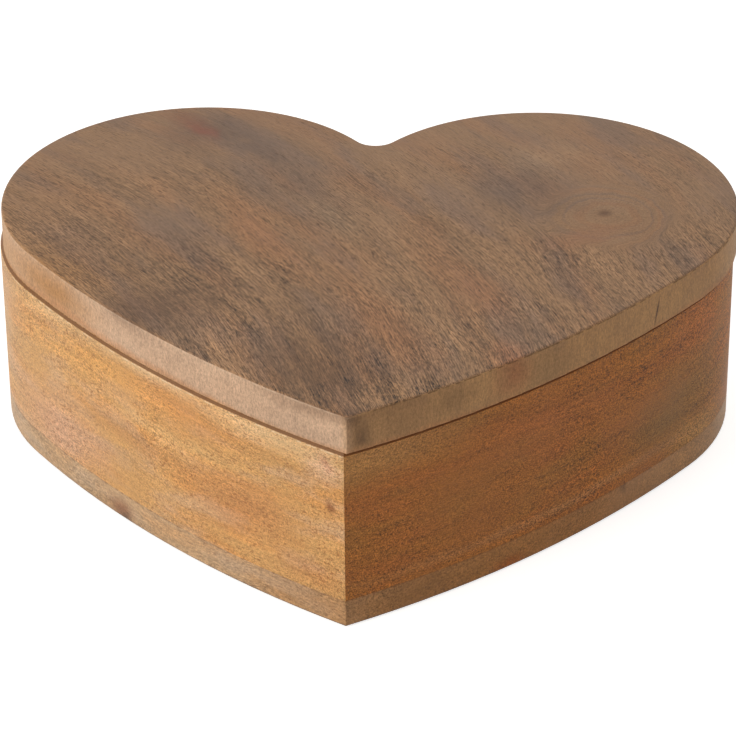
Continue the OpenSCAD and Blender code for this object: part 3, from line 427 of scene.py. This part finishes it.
def fadeOnSide(tree, share, ground, rest):
    # the sawn sides keep only a rest of what the planed face shows
    fade = add(tree, "ShaderNodeMapRange", {}, {"Value": ground["onSide"], "To Min": 1.0, "To Max": rest})
    return add(tree, "ShaderNodeMath", times, {0: share, 1: fade})


def tintOf(tree, look, ground):
    # the base colour, or that of the sawn sides, under the clouds and the stains
    tint = linear(look["base"])
    if ground["onSide"]:
        side = look["side"]
        # the sawn sides' colour turns from the left one to the right one, whose darker colour is painted
        # shade
        sideLitAndShaded = add(tree, "ShaderNodeMix", colourMix, {
            0: ground["turned"], 6: linear(side["left"]), 7: linear(side["right"])}).outputs[2]
        tint = add(tree, "ShaderNodeMix", colourMix, {0: ground["onSide"], 6: tint, 7: sideLitAndShaded}).outputs[2]
    for cloud in look["clouds"]:
        spot = add(tree, "ShaderNodeVectorMath", over, {0: ground["flow"], 1: cloud["size"]})
        noise = add(tree, "ShaderNodeTexNoise", {}, {"Vector": spot, "Scale": 1.0, "Detail": 3.0})
        share = add(tree, "ShaderNodeMapRange", smooth, {
            "Value": noise, "From Min": woodWork["cloudFrom"], "From Max": woodWork["cloudTo"],
            "To Max": cloud["share"]})
        if ground["onSide"]:
            share = fadeOnSide(tree, share, ground, look["side"]["clouds"])
        tint = add(tree, "ShaderNodeMix", colourMix, {
            0: share, 6: tint, 7: linear(cloud["colour"])}).outputs[2]
    for stain in look["stains"]:
        swing = (0.0, math.radians(stain.get("tilt", 0.0)), math.radians(stain.get("turn", look["grain"])))
        spot = add(tree, "ShaderNodeMapping", {"vector_type": "TEXTURE"}, {
            "Vector": ground["plain"] if stain.get("sharp") else ground["frayed"],
            "Location": stain["at"], "Rotation": swing,
            "Scale": [woodWork["spread"] * length for length in stain["size"]]})
        share = add(tree, "ShaderNodeMapRange", smooth, {
            "Value": add(tree, "ShaderNodeTexGradient", {"gradient_type": "SPHERICAL"}, {0: spot}),
            "To Max": stain["share"]})
        tint = add(tree, "ShaderNodeMix", colourMix, {
            0: share, 6: tint, 7: linear(stain["colour"])}).outputs[2]
    return tint


def livelyOf(tree, look, ground):
    # how strong the figure is, in patches, and from one end of the board to the other
    noise = add(tree, "ShaderNodeTexNoise", {}, {
        "Vector": ground["wavy"], "Scale": 1 / woodWork["patchSize"], "Detail": 2.0})
    lively = add(tree, "ShaderNodeMapRange", {}, {
        "Value": noise, "From Min": woodWork["patchFrom"], "From Max": woodWork["patchTo"],
        "To Min": woodWork["patchCalm"], "To Max": woodWork["patchLively"]})
    if "calm" in look:
        calm = look["calm"]
        change = add(tree, "ShaderNodeMapRange", {}, {
            "Value": ground["axes"][calm["axis"]], "From Min": calm["from"], "From Max": calm["to"],
            "To Min": calm["atFrom"], "To Max": calm["atTo"]})
        lively = add(tree, "ShaderNodeMath", times, {0: lively, 1: change})
    return lively


def figureOf(tree, ground, tones):
    # light and dark of the bands, streaks and fibres, about 0, since a noise has its middle at 0.5
    total = -0.5 * sum(layer["tone"] for layer in tones)
    for layer in tones:
        spot = add(tree, "ShaderNodeVectorMath", over, {0: ground, 1: layer["size"]})
        noise = add(tree, "ShaderNodeTexNoise", {}, {
            "Vector": spot, "Scale": 1.0, "Detail": layer["detail"]})
        total = add(tree, "ShaderNodeMath", timesPlus, {0: noise, 1: layer["tone"], 2: total})
    return total


def toneOf(tree, look, ground, figure, lively):
    # the figure as a factor of the tint, with that of the knot and the sides in their places
    tone = add(tree, "ShaderNodeMath", timesPlus, {0: figure, 1: lively, 2: 1.0})
    if ground["speckled"]:
        speckles = figureOf(tree, ground["plain"], look["knot"]["tones"])
        speckles = add(tree, "ShaderNodeMath", plus, {0: speckles, 1: 1.0})
        tone = add(tree, "ShaderNodeMix", {}, {0: ground["speckled"], 2: tone, 3: speckles})
        tone = add(tree, "ShaderNodeMath", plus, {0: tone, 1: ground["rings"]})
    if ground["onSide"]:
        sideTone = figureOf(tree, ground["plain"], look["side"]["tones"])
        sideTone = add(tree, "ShaderNodeMath", plus, {0: sideTone, 1: 1.0})
        tone = add(tree, "ShaderNodeMix", {}, {0: ground["onSide"], 2: tone, 3: sideTone})
    return tone


def dirtAndPaintedLightOf(tree, look, ground, tint, pitted, lively):
    # dirt in the pores, and lines along the edges and joints of dirt, wear, painted shade and painted
    # highlight
    pores = look["pores"]
    dirty = add(tree, "ShaderNodeMath", {"operation": "MULTIPLY", "use_clamp": True}, {0: pitted, 1: lively})
    share = add(tree, "ShaderNodeMath", times, {0: dirty, 1: pores["share"]})
    if ground["speckled"]:
        fade = add(tree, "ShaderNodeMath", minus, {0: 1.0, 1: ground["speckled"]})
        share = add(tree, "ShaderNodeMath", times, {0: share, 1: fade})
    if ground["onSide"]:
        share = fadeOnSide(tree, share, ground, look["side"]["pores"])
    tint = add(tree, "ShaderNodeMix", colourMix, {0: share, 6: tint, 7: linear(pores["colour"])}).outputs[2]
    for line in look.get("lines", []):
        share = add(tree, "ShaderNodeMath", within, {
            0: ground["axes"][2], 1: line["height"], 2: line["half"]})
        share = add(tree, "ShaderNodeMath", times, {0: share, 1: line["share"]})
        if line.get("broken"):
            gaps = add(tree, "ShaderNodeTexNoise", {}, {
                "Vector": ground["plain"], "Scale": 1 / woodWork["gapSize"], "Detail": 2.0})
            gaps = add(tree, "ShaderNodeMapRange", {}, {
                "Value": gaps, "From Min": woodWork["gapFrom"], "From Max": woodWork["gapTo"]})
            share = add(tree, "ShaderNodeMath", times, {0: share, 1: gaps})
        if line.get("side"):
            left, right = (1.0, 0.0) if line["side"] == "left" else (0.0, 1.0)
            there = add(tree, "ShaderNodeMapRange", {}, {
                "Value": ground["turned"], "To Min": left, "To Max": right})
            share = add(tree, "ShaderNodeMath", times, {0: share, 1: there})
        tint = add(tree, "ShaderNodeMix", colourMix, {
            0: share, 6: tint, 7: linear(line["colour"])}).outputs[2]
    return tint


def makeWood(look):
    material, tree = newMaterial(look["name"])
    ground = groundOf(tree, look)
    lively = livelyOf(tree, look, ground)
    figure = figureOf(tree, ground["flow"], look["tones"])
    pores = look["pores"]
    spot = add(tree, "ShaderNodeVectorMath", over, {0: ground["flow"], 1: pores["size"]})
    pitted = add(tree, "ShaderNodeTexNoise", {}, {"Vector": spot, "Scale": 1.0, "Detail": 1.0})
    pitted = add(tree, "ShaderNodeMapRange", smooth, {
        "Value": pitted, "From Min": pores["from"], "From Max": pores["to"]})
    tint = add(tree, "ShaderNodeVectorMath", scaled, {
        0: tintOf(tree, look, ground), "Scale": toneOf(tree, look, ground, figure, lively)})
    tint = dirtAndPaintedLightOf(tree, look, ground, tint, pitted, lively)

    relief = add(tree, "ShaderNodeMath", minus, {0: figure, 1: pitted})
    bump = add(tree, "ShaderNodeBump", {}, {
        "Strength": woodWork["relief"], "Distance": woodWork["reliefDepth"] * mm, "Height": relief})
    rough = add(tree, "ShaderNodeMapRange", {}, {
        "Value": lively, "From Min": woodWork["calmest"], "From Max": woodWork["liveliest"],
        "To Min": woodWork["shiny"], "To Max": woodWork["dull"]})
    shader = add(tree, "ShaderNodeBsdfPrincipled", {}, {
        "Base Color": tint, "Roughness": rough, "Normal": bump, "IOR": woodWork["ior"],
        "Specular IOR Level": woodWork["specular"]})
    add(tree, "ShaderNodeOutputMaterial", {}, {"Surface": shader})
    return material


def openRing(shape, level):
    # the corners round the open border at this height, in order and anticlockwise seen from above
    border = [
        edge for edge in shape.edges
        if edge.is_boundary and all(abs(vert.co.z - level) < touching for vert in edge.verts)]
    ring = [border[0].verts[0]]
    while border:
        edge = next(edge for edge in border if ring[-1] in edge.verts)
        border.remove(edge)
        ring.append(edge.other_vert(ring[-1]))
    ring.pop()
    area = sum(a.co.x * b.co.y - b.co.x * a.co.y for a, b in zip(ring, ring[1:] + ring[:1]))
    return ring if area > 0 else ring[::-1]


def roundEdge(shape, flat, side, rows):
    # lays the rounding between a flat face and the upright side anew, in even rows of narrow faces
    low, high = min(flat, side) - touching, max(flat, side) + touching
    old = [
        face for face in shape.faces
        if all(low < vert.co.z < high for vert in face.verts)
        and any(abs(vert.co.z - flat) > touching for vert in face.verts)]
    bmesh.ops.delete(shape, geom=old, context="FACES")
    flatRing, sideRing = openRing(shape, flat), openRing(shape, side)
    columns = []
    for outer in sideRing:
        nearest = min(range(len(flatRing)), key=lambda i: (flatRing[i].co.xy - outer.co.xy).length)
        inner = flatRing[nearest]
        column = [inner]
        for row in range(1, rows):
            angle = math.pi / 2 * row / rows
            spot = inner.co.lerp(outer.co, math.sin(angle))
            spot.z = flat + (side - flat) * (1 - math.cos(angle))
            column.append(shape.verts.new(spot))
        columns.append((nearest, column + [outer]))
    for (start, here), (end, there) in zip(columns, columns[1:] + columns[:1]):
        steps = (end - start) % len(flatRing)
        foot = [flatRing[(start + i) % len(flatRing)] for i in range(steps + 1)]
        shape.faces.new(foot + [there[1], here[1]])
        for row in range(1, rows):
            shape.faces.new((here[row], there[row], there[row + 1], here[row + 1]))
    bmesh.ops.recalc_face_normals(shape, faces=shape.faces)
    creases = set(flatRing) | set(sideRing)
    for edge in shape.edges:
        if set(edge.verts) <= creases:
            edge.smooth = False


# the two boards that show their long edges get even roundings; faces that meet at a smaller angle
# than the crease's are shaded as one
boardEdge = {"round": 0.8 * mm, "rows": 6, "crease": 25.0}
boards = [
    {"name": "lid_board", "node": "lid_panel", "body": "lid", "look": lidWood, "top": True},
    {"name": "base_board", "node": "base_panel", "body": "case", "look": baseWood, "top": False},
]
for board in boards:
    low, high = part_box(board["node"])
    shape = mergedCopy(board["node"])
    for edge in shape.edges:
        edge.smooth = edge.calc_face_angle(0.0) < math.radians(boardEdge["crease"])
    if board["top"]:
        roundEdge(shape, high[2], high[2] - boardEdge["round"], boardEdge["rows"])
    else:
        roundEdge(shape, low[2], low[2] + boardEdge["round"], boardEdge["rows"])
    for face in shape.faces:
        face.smooth = True
    piece = newPiece(board["name"], shape, makeWood(board["look"]))
    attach(piece, board["body"])
    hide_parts(board["node"])
for name, look in (("left_wall", leftWood), ("right_wall", rightWoodShaded)):
    dress(name, makeWood(look))
inner = makeWood(dict(baseWood, name="mangoWoodInside", stains=[]))
for name in ("divider_side", "divider_front"):
    dress(name, inner)
ply = makeWood(birchPly)
for name in ("mount_board", "cover_ledge"):
    dress(name, ply)
print("wood done")

finishes = {
    # stamped brass, satin: warm soft highlights
    "hingeBrass": {"colour": "#c9a050", "metallic": 1.0, "roughness": 0.36, "grit": 0.25},
    # turned and stamped brass, bright
    "turnedBrass": {"colour": "#d8b262", "metallic": 1.0, "roughness": 0.24, "grit": 0.15},
    # zinc plated sheet steel, dull
    "zincSteel": {"colour": "#a9a9a6", "metallic": 1.0, "roughness": 0.42, "grit": 0.3},
    # turned steel, bright
    "turnedSteel": {"colour": "#b4b4b4", "metallic": 1.0, "roughness": 0.25, "grit": 0.15},
    # hardened comb steel, ground
    "groundSteel": {"colour": "#8f9298", "metallic": 1.0, "roughness": 0.3, "grit": 0.2},
    # sheet aluminium, mill finish
    "millAluminium": {"colour": "#cfd0d2", "metallic": 1.0, "roughness": 0.33, "grit": 0.2},
}
# the grit of the tool marks, coarser than the real one so that it shows, and the clouds of tarnish;
# sizes in mm
metalWork = {
    "gritSize": 0.2, "gritDepth": 0.03, "cloudSize": 5.556, "cloudFrom": 0.3, "cloudTo": 0.7,
    "dark": 0.82, "bright": 1.05, "duller": 0.08, "shinier": 0.05,
}


def makeMetal(name, look):
    material, tree = newMaterial(name)
    place = add(tree, "ShaderNodeTexCoord").outputs["Object"]
    grit = add(tree, "ShaderNodeTexNoise", {}, {
        "Vector": place, "Scale": 1 / (metalWork["gritSize"] * mm), "Detail": 2.0})
    tarnish = add(tree, "ShaderNodeTexNoise", {}, {
        "Vector": place, "Scale": 1 / (metalWork["cloudSize"] * mm), "Detail": 3.0})
    tone = add(tree, "ShaderNodeMapRange", {}, {
        "Value": tarnish, "From Min": metalWork["cloudFrom"], "From Max": metalWork["cloudTo"],
        "To Min": metalWork["dark"], "To Max": metalWork["bright"]})
    colour = add(tree, "ShaderNodeVectorMath", scaled, {0: linear(look["colour"])[:3], "Scale": tone})
    rough = add(tree, "ShaderNodeMapRange", {}, {
        "Value": tarnish, "From Min": metalWork["cloudFrom"], "From Max": metalWork["cloudTo"],
        "To Min": look["roughness"] + metalWork["duller"],
        "To Max": look["roughness"] - metalWork["shinier"]})
    bump = add(tree, "ShaderNodeBump", {}, {
        "Strength": look["grit"], "Distance": metalWork["gritDepth"] * mm, "Height": grit})
    shader = add(tree, "ShaderNodeBsdfPrincipled", {}, {
        "Base Color": colour, "Metallic": look["metallic"], "Roughness": rough, "Normal": bump})
    add(tree, "ShaderNodeOutputMaterial", {}, {"Surface": shader})
    return material


metals = {name: makeMetal(name, look) for name, look in finishes.items()}
metalOf = {
    "hinge_brass": "hingeBrass", "movement_brass": "turnedBrass", "plated_steel": "zincSteel",
    "screw_steel": "turnedSteel", "comb_steel": "groundSteel", "fan_aluminium": "millAluminium",
}
for part in frame["record"]["subparts"]:
    if part["material_slot"] in metalOf:
        dress(part["node"], metals[metalOf[part["material_slot"]]])
print("metals done")

# cast acrylic, laser cut: clear, with polished edges; it seats this far above its ledge, so that its
# two faces stay apart from the wood
coverLook = {"colour": "#f4f8f8", "roughness": 0.02, "ior": 1.49, "seat": 0.06 * mm}
flatAngle = math.radians(0.5)  # faces that meet at less than this are joined into one


def makeAcrylic(look):
    material, tree = newMaterial("castAcrylic")
    glass = add(tree, "ShaderNodeBsdfPrincipled", {}, {
        "Base Color": linear(look["colour"]), "Roughness": look["roughness"], "IOR": look["ior"],
        "Transmission Weight": 1.0})
    # lamps shine straight through it
    clear = add(tree, "ShaderNodeBsdfTransparent", {}, {"Color": linear(look["colour"])})
    rays = add(tree, "ShaderNodeLightPath")
    both = add(tree, "ShaderNodeMixShader", {}, {0: rays.outputs["Is Shadow Ray"], 1: glass, 2: clear})
    add(tree, "ShaderNodeOutputMaterial", {}, {"Surface": both})
    return material


low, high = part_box("movement_cover")
shape = mergedCopy("movement_cover")
bmesh.ops.dissolve_limit(shape, angle_limit=flatAngle, verts=shape.verts, edges=shape.edges)
for vert in shape.verts:
    if vert.co.z < (low[2] + high[2]) / 2:
        vert.co.z += coverLook["seat"]
cover = newPiece("acrylic_cover", shape, makeAcrylic(coverLook))
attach(cover, "case")
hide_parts("movement_cover")
print("cover done")

# pressed wool felt, dyed: dull and matt, with a fine cloudy nap; hair, cloud and reliefDepth are in
# mm, cell and lump in metres, and the area is that of the cut felt in square metres
feltLook = {
    "colour": "#6d1f25", "hair": 0.4, "frizz": 0.7, "cloud": 5.882, "from": 0.3, "to": 0.7,
    "hairDark": 0.6, "hairPale": 1.25, "cloudDark": 0.88, "cloudPale": 1.12,
    "roughness": 0.95, "sheen": 0.5, "relief": 0.7, "reliefDepth": 0.4,
    "cell": 0.003, "lump": 0.00012, "lumpScale": 260.0, "seed": 3.0, "area": 0.0116865,
}


def makeFelt(look):
    material, tree = newMaterial("pressedWoolFelt")
    place = add(tree, "ShaderNodeTexCoord").outputs["Object"]
    hairs = add(tree, "ShaderNodeTexNoise", {}, {
        "Vector": place, "Scale": 1 / (look["hair"] * mm), "Detail": 3.0, "Roughness": look["frizz"]})
    clouds = add(tree, "ShaderNodeTexNoise", {}, {
        "Vector": place, "Scale": 1 / (look["cloud"] * mm), "Detail": 3.0})
    tone = add(tree, "ShaderNodeMapRange", {}, {
        "Value": hairs, "From Min": look["from"], "From Max": look["to"],
        "To Min": look["hairDark"], "To Max": look["hairPale"]})
    patch = add(tree, "ShaderNodeMapRange", {}, {
        "Value": clouds, "From Min": look["from"], "From Max": look["to"],
        "To Min": look["cloudDark"], "To Max": look["cloudPale"]})
    tone = add(tree, "ShaderNodeMath", times, {0: tone, 1: patch})
    colour = add(tree, "ShaderNodeVectorMath", scaled, {0: linear(look["colour"])[:3], "Scale": tone})
    bump = add(tree, "ShaderNodeBump", {}, {
        "Strength": look["relief"], "Distance": look["reliefDepth"] * mm, "Height": hairs})
    shader = add(tree, "ShaderNodeBsdfPrincipled", {}, {
        "Base Color": colour, "Roughness": look["roughness"], "Normal": bump,
        "Sheen Weight": look["sheen"], "Sheen Roughness": look["sheen"]})
    add(tree, "ShaderNodeOutputMaterial", {}, {"Surface": shader})
    return material


def makeNap(felt):
    # the nap lifts and sinks a little on the upper face
    tree, sockets, given = openTree("feltNap", ("Lump Height", "Lump Scale", "Seed", "Middle Height"))
    spot = add(tree, "GeometryNodeInputPosition")
    lumps = add(tree, "ShaderNodeTexNoise", {"noise_dimensions": "4D"}, {
        "Vector": spot, "W": given["Seed"], "Scale": given["Lump Scale"], "Detail": 2.0})
    lift = add(tree, "ShaderNodeMath", minus, {0: lumps, 1: 0.5})
    lift = add(tree, "ShaderNodeMath", times, {0: lift, 1: given["Lump Height"]})
    lift = add(tree, "ShaderNodeCombineXYZ", {}, {2: lift})
    upper = add(tree, "FunctionNodeCompare", {"data_type": "FLOAT", "operation": "GREATER_THAN"}, {
        0: add(tree, "ShaderNodeSeparateXYZ", {}, {0: spot}).outputs[2], 1: given["Middle Height"]})
    moved = add(tree, "GeometryNodeSetPosition", {}, {
        "Geometry": given["Geometry"], "Selection": upper, "Offset": lift})
    closeTree(tree, moved, felt)
    return tree, sockets


low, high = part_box("tray_felt")
shape = mergedCopy("tray_felt")
bmesh.ops.dissolve_limit(shape, angle_limit=flatAngle, verts=shape.verts, edges=shape.edges)
for axis in (0, 1):
    for step in range(1, int((high[axis] - low[axis]) / feltLook["cell"]) + 1):
        cut = [0.0, 0.0, 0.0]
        cut[axis] = low[axis] + step * feltLook["cell"]
        across = [float(axis == 0), float(axis == 1), 0.0]
        bmesh.ops.bisect_plane(
            shape, geom=shape.verts[:] + shape.edges[:] + shape.faces[:], plane_co=cut, plane_no=across)
bmesh.ops.triangulate(shape, faces=[face for face in shape.faces if len(face.verts) > 4])
felt = makeFelt(feltLook)
lining = newPiece("felt_lining", shape, felt)
nap, sockets = makeNap(felt)
applyTree(lining, nap, sockets, {
    "Lump Height": feltLook["lump"], "Lump Scale": feltLook["lumpScale"], "Seed": feltLook["seed"],
    "Middle Height": (low[2] + high[2]) / 2})
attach(lining, "case")
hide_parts("tray_felt")
print("felt done")

# heads of the hinge screws: turned brass, slotted and sunk in the leaves, a hair proud; sizes in
# metres, and the slot's cutter is this many head radii long and head depths deep
headLook = {
    "radius": 0.00165, "proud": 0.00006, "sunk": 0.0002, "slot": 0.0004, "sides": 24, "seed": 5,
    "cutLong": 3.0, "cutDeep": 2.0,
}


def makeHeads(look, brass):
    # a slotted head on each point, each turned its own way
    tree, sockets, given = openTree("slottedHeads", ("Head Radius", "Head Depth", "Slot Width"))
    head = add(tree, "GeometryNodeMeshCylinder", {}, {
        "Vertices": look["sides"], "Radius": given["Head Radius"], "Depth": given["Head Depth"]})
    slotLong = add(tree, "ShaderNodeMath", times, {0: given["Head Radius"], 1: look["cutLong"]})
    slotDeep = add(tree, "ShaderNodeMath", times, {0: given["Head Depth"], 1: look["cutDeep"]})
    slotSize = add(tree, "ShaderNodeCombineXYZ", {}, {0: slotLong, 1: given["Slot Width"], 2: slotDeep})
    slot = add(tree, "GeometryNodeMeshCube", {}, {"Size": slotSize})
    slotted = add(tree, "GeometryNodeMeshBoolean", {"operation": "DIFFERENCE"}, {
        "Mesh 1": head, "Mesh 2": slot})
    swing = add(tree, "FunctionNodeRandomValue", {"data_type": "FLOAT"}, {
        2: 0.0, 3: math.pi, "Seed": look["seed"]})
    swing = add(tree, "ShaderNodeCombineXYZ", {}, {2: swing.outputs[1]})
    heads = add(tree, "GeometryNodeInstanceOnPoints", {}, {
        "Points": given["Geometry"], "Instance": slotted, "Rotation": swing})
    closeTree(tree, heads, brass)
    return tree, sockets


def shankEnds(shanks, end, look):
    # the middle of each shank's end, upper or lower, at the height of the head's middle
    low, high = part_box(shanks)
    level = high[2] if end > 0 else low[2]
    shape = mergedCopy(shanks)
    rim = [vert for vert in shape.verts if abs(vert.co.z - level) < touching]
    ends = []
    while rim:
        group = [vert for vert in rim if (vert.co - rim[0].co).length < 2 * look["radius"]]
        rim = [vert for vert in rim if vert not in group]
        centre = sum((vert.co for vert in group), Vector()) / len(group)
        centre.z = level + end * (look["proud"] - look["sunk"]) / 2
        ends.append(centre)
    shape.free()
    return ends


slottedHeads, sockets = makeHeads(headLook, metals["turnedBrass"])
for name, shanks, body, end in (
        ("body_leaf_screw_heads", "body_leaf_screws", "case", 1),
        ("lid_leaf_screw_heads", "lid_leaf_screws", "lid", -1)):
    shape = bmesh.new()
    for centre in shankEnds(shanks, end, headLook):
        shape.verts.new(centre)
    heads = newPiece(name, shape, metals["turnedBrass"])
    applyTree(heads, slottedHeads, sockets, {
        "Head Radius": headLook["radius"], "Head Depth": headLook["proud"] + headLook["sunk"],
        "Slot Width": headLook["slot"]})
    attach(heads, body)
print("screw heads done")

# a plain pale floor in a white studio; sizes in metres
room = {
    "floorSize": 6.0, "floorGap": 0.0002, "floorColour": "#d9d9d9", "floorGlow": 0.75, "worldLight": 0.25,
}


def seenRays(tree):
    # 1 for the rays that show the background, straight or in metal and glass, and 0 for light on the object
    rays = add(tree, "ShaderNodeLightPath").outputs
    seen = add(tree, "ShaderNodeMath", {"operation": "MAXIMUM"}, {
        0: rays["Is Camera Ray"], 1: rays["Is Glossy Ray"]})
    return add(tree, "ShaderNodeMath", {"operation": "MAXIMUM"}, {0: seen, 1: rays["Is Transmission Ray"]})


half = room["floorSize"] / 2
corners = [(-half, -half, 0), (half, -half, 0), (half, half, 0), (-half, half, 0)]
mesh = bpy.data.meshes.new("floor")
mesh.from_pydata(corners, [], [(0, 1, 2, 3)])
floor = newObject("floor", mesh)
floor.location.z = -room["floorGap"]
floorPaint, tree = newMaterial("floorPaint")
glow = add(tree, "ShaderNodeMath", times, {0: seenRays(tree), 1: room["floorGlow"]})
paint = add(tree, "ShaderNodeBsdfDiffuse", {}, {"Color": linear(room["floorColour"])})
shine = add(tree, "ShaderNodeEmission", {}, {"Color": (1, 1, 1, 1), "Strength": glow})
both = add(tree, "ShaderNodeAddShader", {}, {0: paint, 1: shine})
add(tree, "ShaderNodeOutputMaterial", {}, {"Surface": both})
mesh.materials.append(floorPaint)

world = bpy.data.worlds.new("studio")
bpy.context.scene.world = world
world.use_nodes = True
tree = world.node_tree
tree.nodes.clear()
strength = add(tree, "ShaderNodeMix", {"data_type": "FLOAT"}, {
    0: seenRays(tree), 2: room["worldLight"], 3: 1.0})
sky = add(tree, "ShaderNodeBackground", {}, {"Color": (1, 1, 1, 1), "Strength": strength})
add(tree, "ShaderNodeOutputWorld", {}, {"Surface": sky})

# lamps face the middle of the box; places and sizes in metres, power in watts
lamps = [
    # large soft window low at the front left
    {"name": "keyLamp", "at": (-1.05, -0.8, 0.5), "size": 0.8, "power": 12.5, "colour": "#fffaf2"},
    # overhead panel, weak
    {"name": "topLamp", "at": (0.05, 0.35, 1.3), "size": 1.2, "power": 6.0, "colour": "#fff8ee"},
    # weak warm fill from the front right
    {"name": "fillLamp", "at": (1.0, -0.9, 0.35), "size": 1.0, "power": 1.5, "colour": "#ffc890"},
]
boxMiddle = Vector((0.0, 0.0, 0.03))
for lamp in lamps:
    data = bpy.data.lights.new(lamp["name"], "AREA")
    data.shape = "DISK"
    data.size = lamp["size"]
    data.energy = lamp["power"]
    data.color = linear(lamp["colour"])[:3]
    light = newObject(lamp["name"], data)
    light.location = lamp["at"]
    light.rotation_euler = (boxMiddle - light.location).to_track_quat("-Z", "Y").to_euler()

# the camera aims so that the middle of the heart's underside falls at its place in the frame;
# angles in degrees, distances in metres, the sensor in mm, and focal, at and frame in pixels
view = {
    "azimuth": -3.218, "elevation": 32.402, "roll": -0.549,
    "distance": 1.01636, "target": (0.0, -0.0017, 0.0),
    "focal": 3715.9, "at": (361.6, 452.85), "frame": 736.0, "sensor": 36.0, "farEnd": 20.0,
}
azimuth, elevation = math.radians(view["azimuth"]), math.radians(view["elevation"])
level = math.cos(elevation)
ahead = Vector((math.sin(azimuth) * level, math.cos(azimuth) * level, -math.sin(elevation)))
camera = newObject("camera", bpy.data.cameras.new("camera"))
camera.data.sensor_width = view["sensor"]
camera.data.lens = view["focal"] / view["frame"] * view["sensor"]
camera.data.clip_end = view["farEnd"]
camera.location = Vector(view["target"]) - ahead * view["distance"]
# turn by the angles that move the target from the frame's middle to its place
yaw = math.atan((view["at"][0] - view["frame"] / 2) / view["focal"])
pitch = math.atan((view["at"][1] - view["frame"] / 2) / view["focal"])
turned = ahead.to_track_quat("-Z", "Y").to_matrix()
for angle, axis in ((yaw, "Y"), (pitch, "X"), (math.radians(view["roll"]), "Z")):
    turned = turned @ Matrix.Rotation(angle, 3, axis)
camera.rotation_euler = turned.to_euler()
bpy.context.scene.camera = camera
bpy.context.scene.view_settings.view_transform = "Standard"
print("stage done")
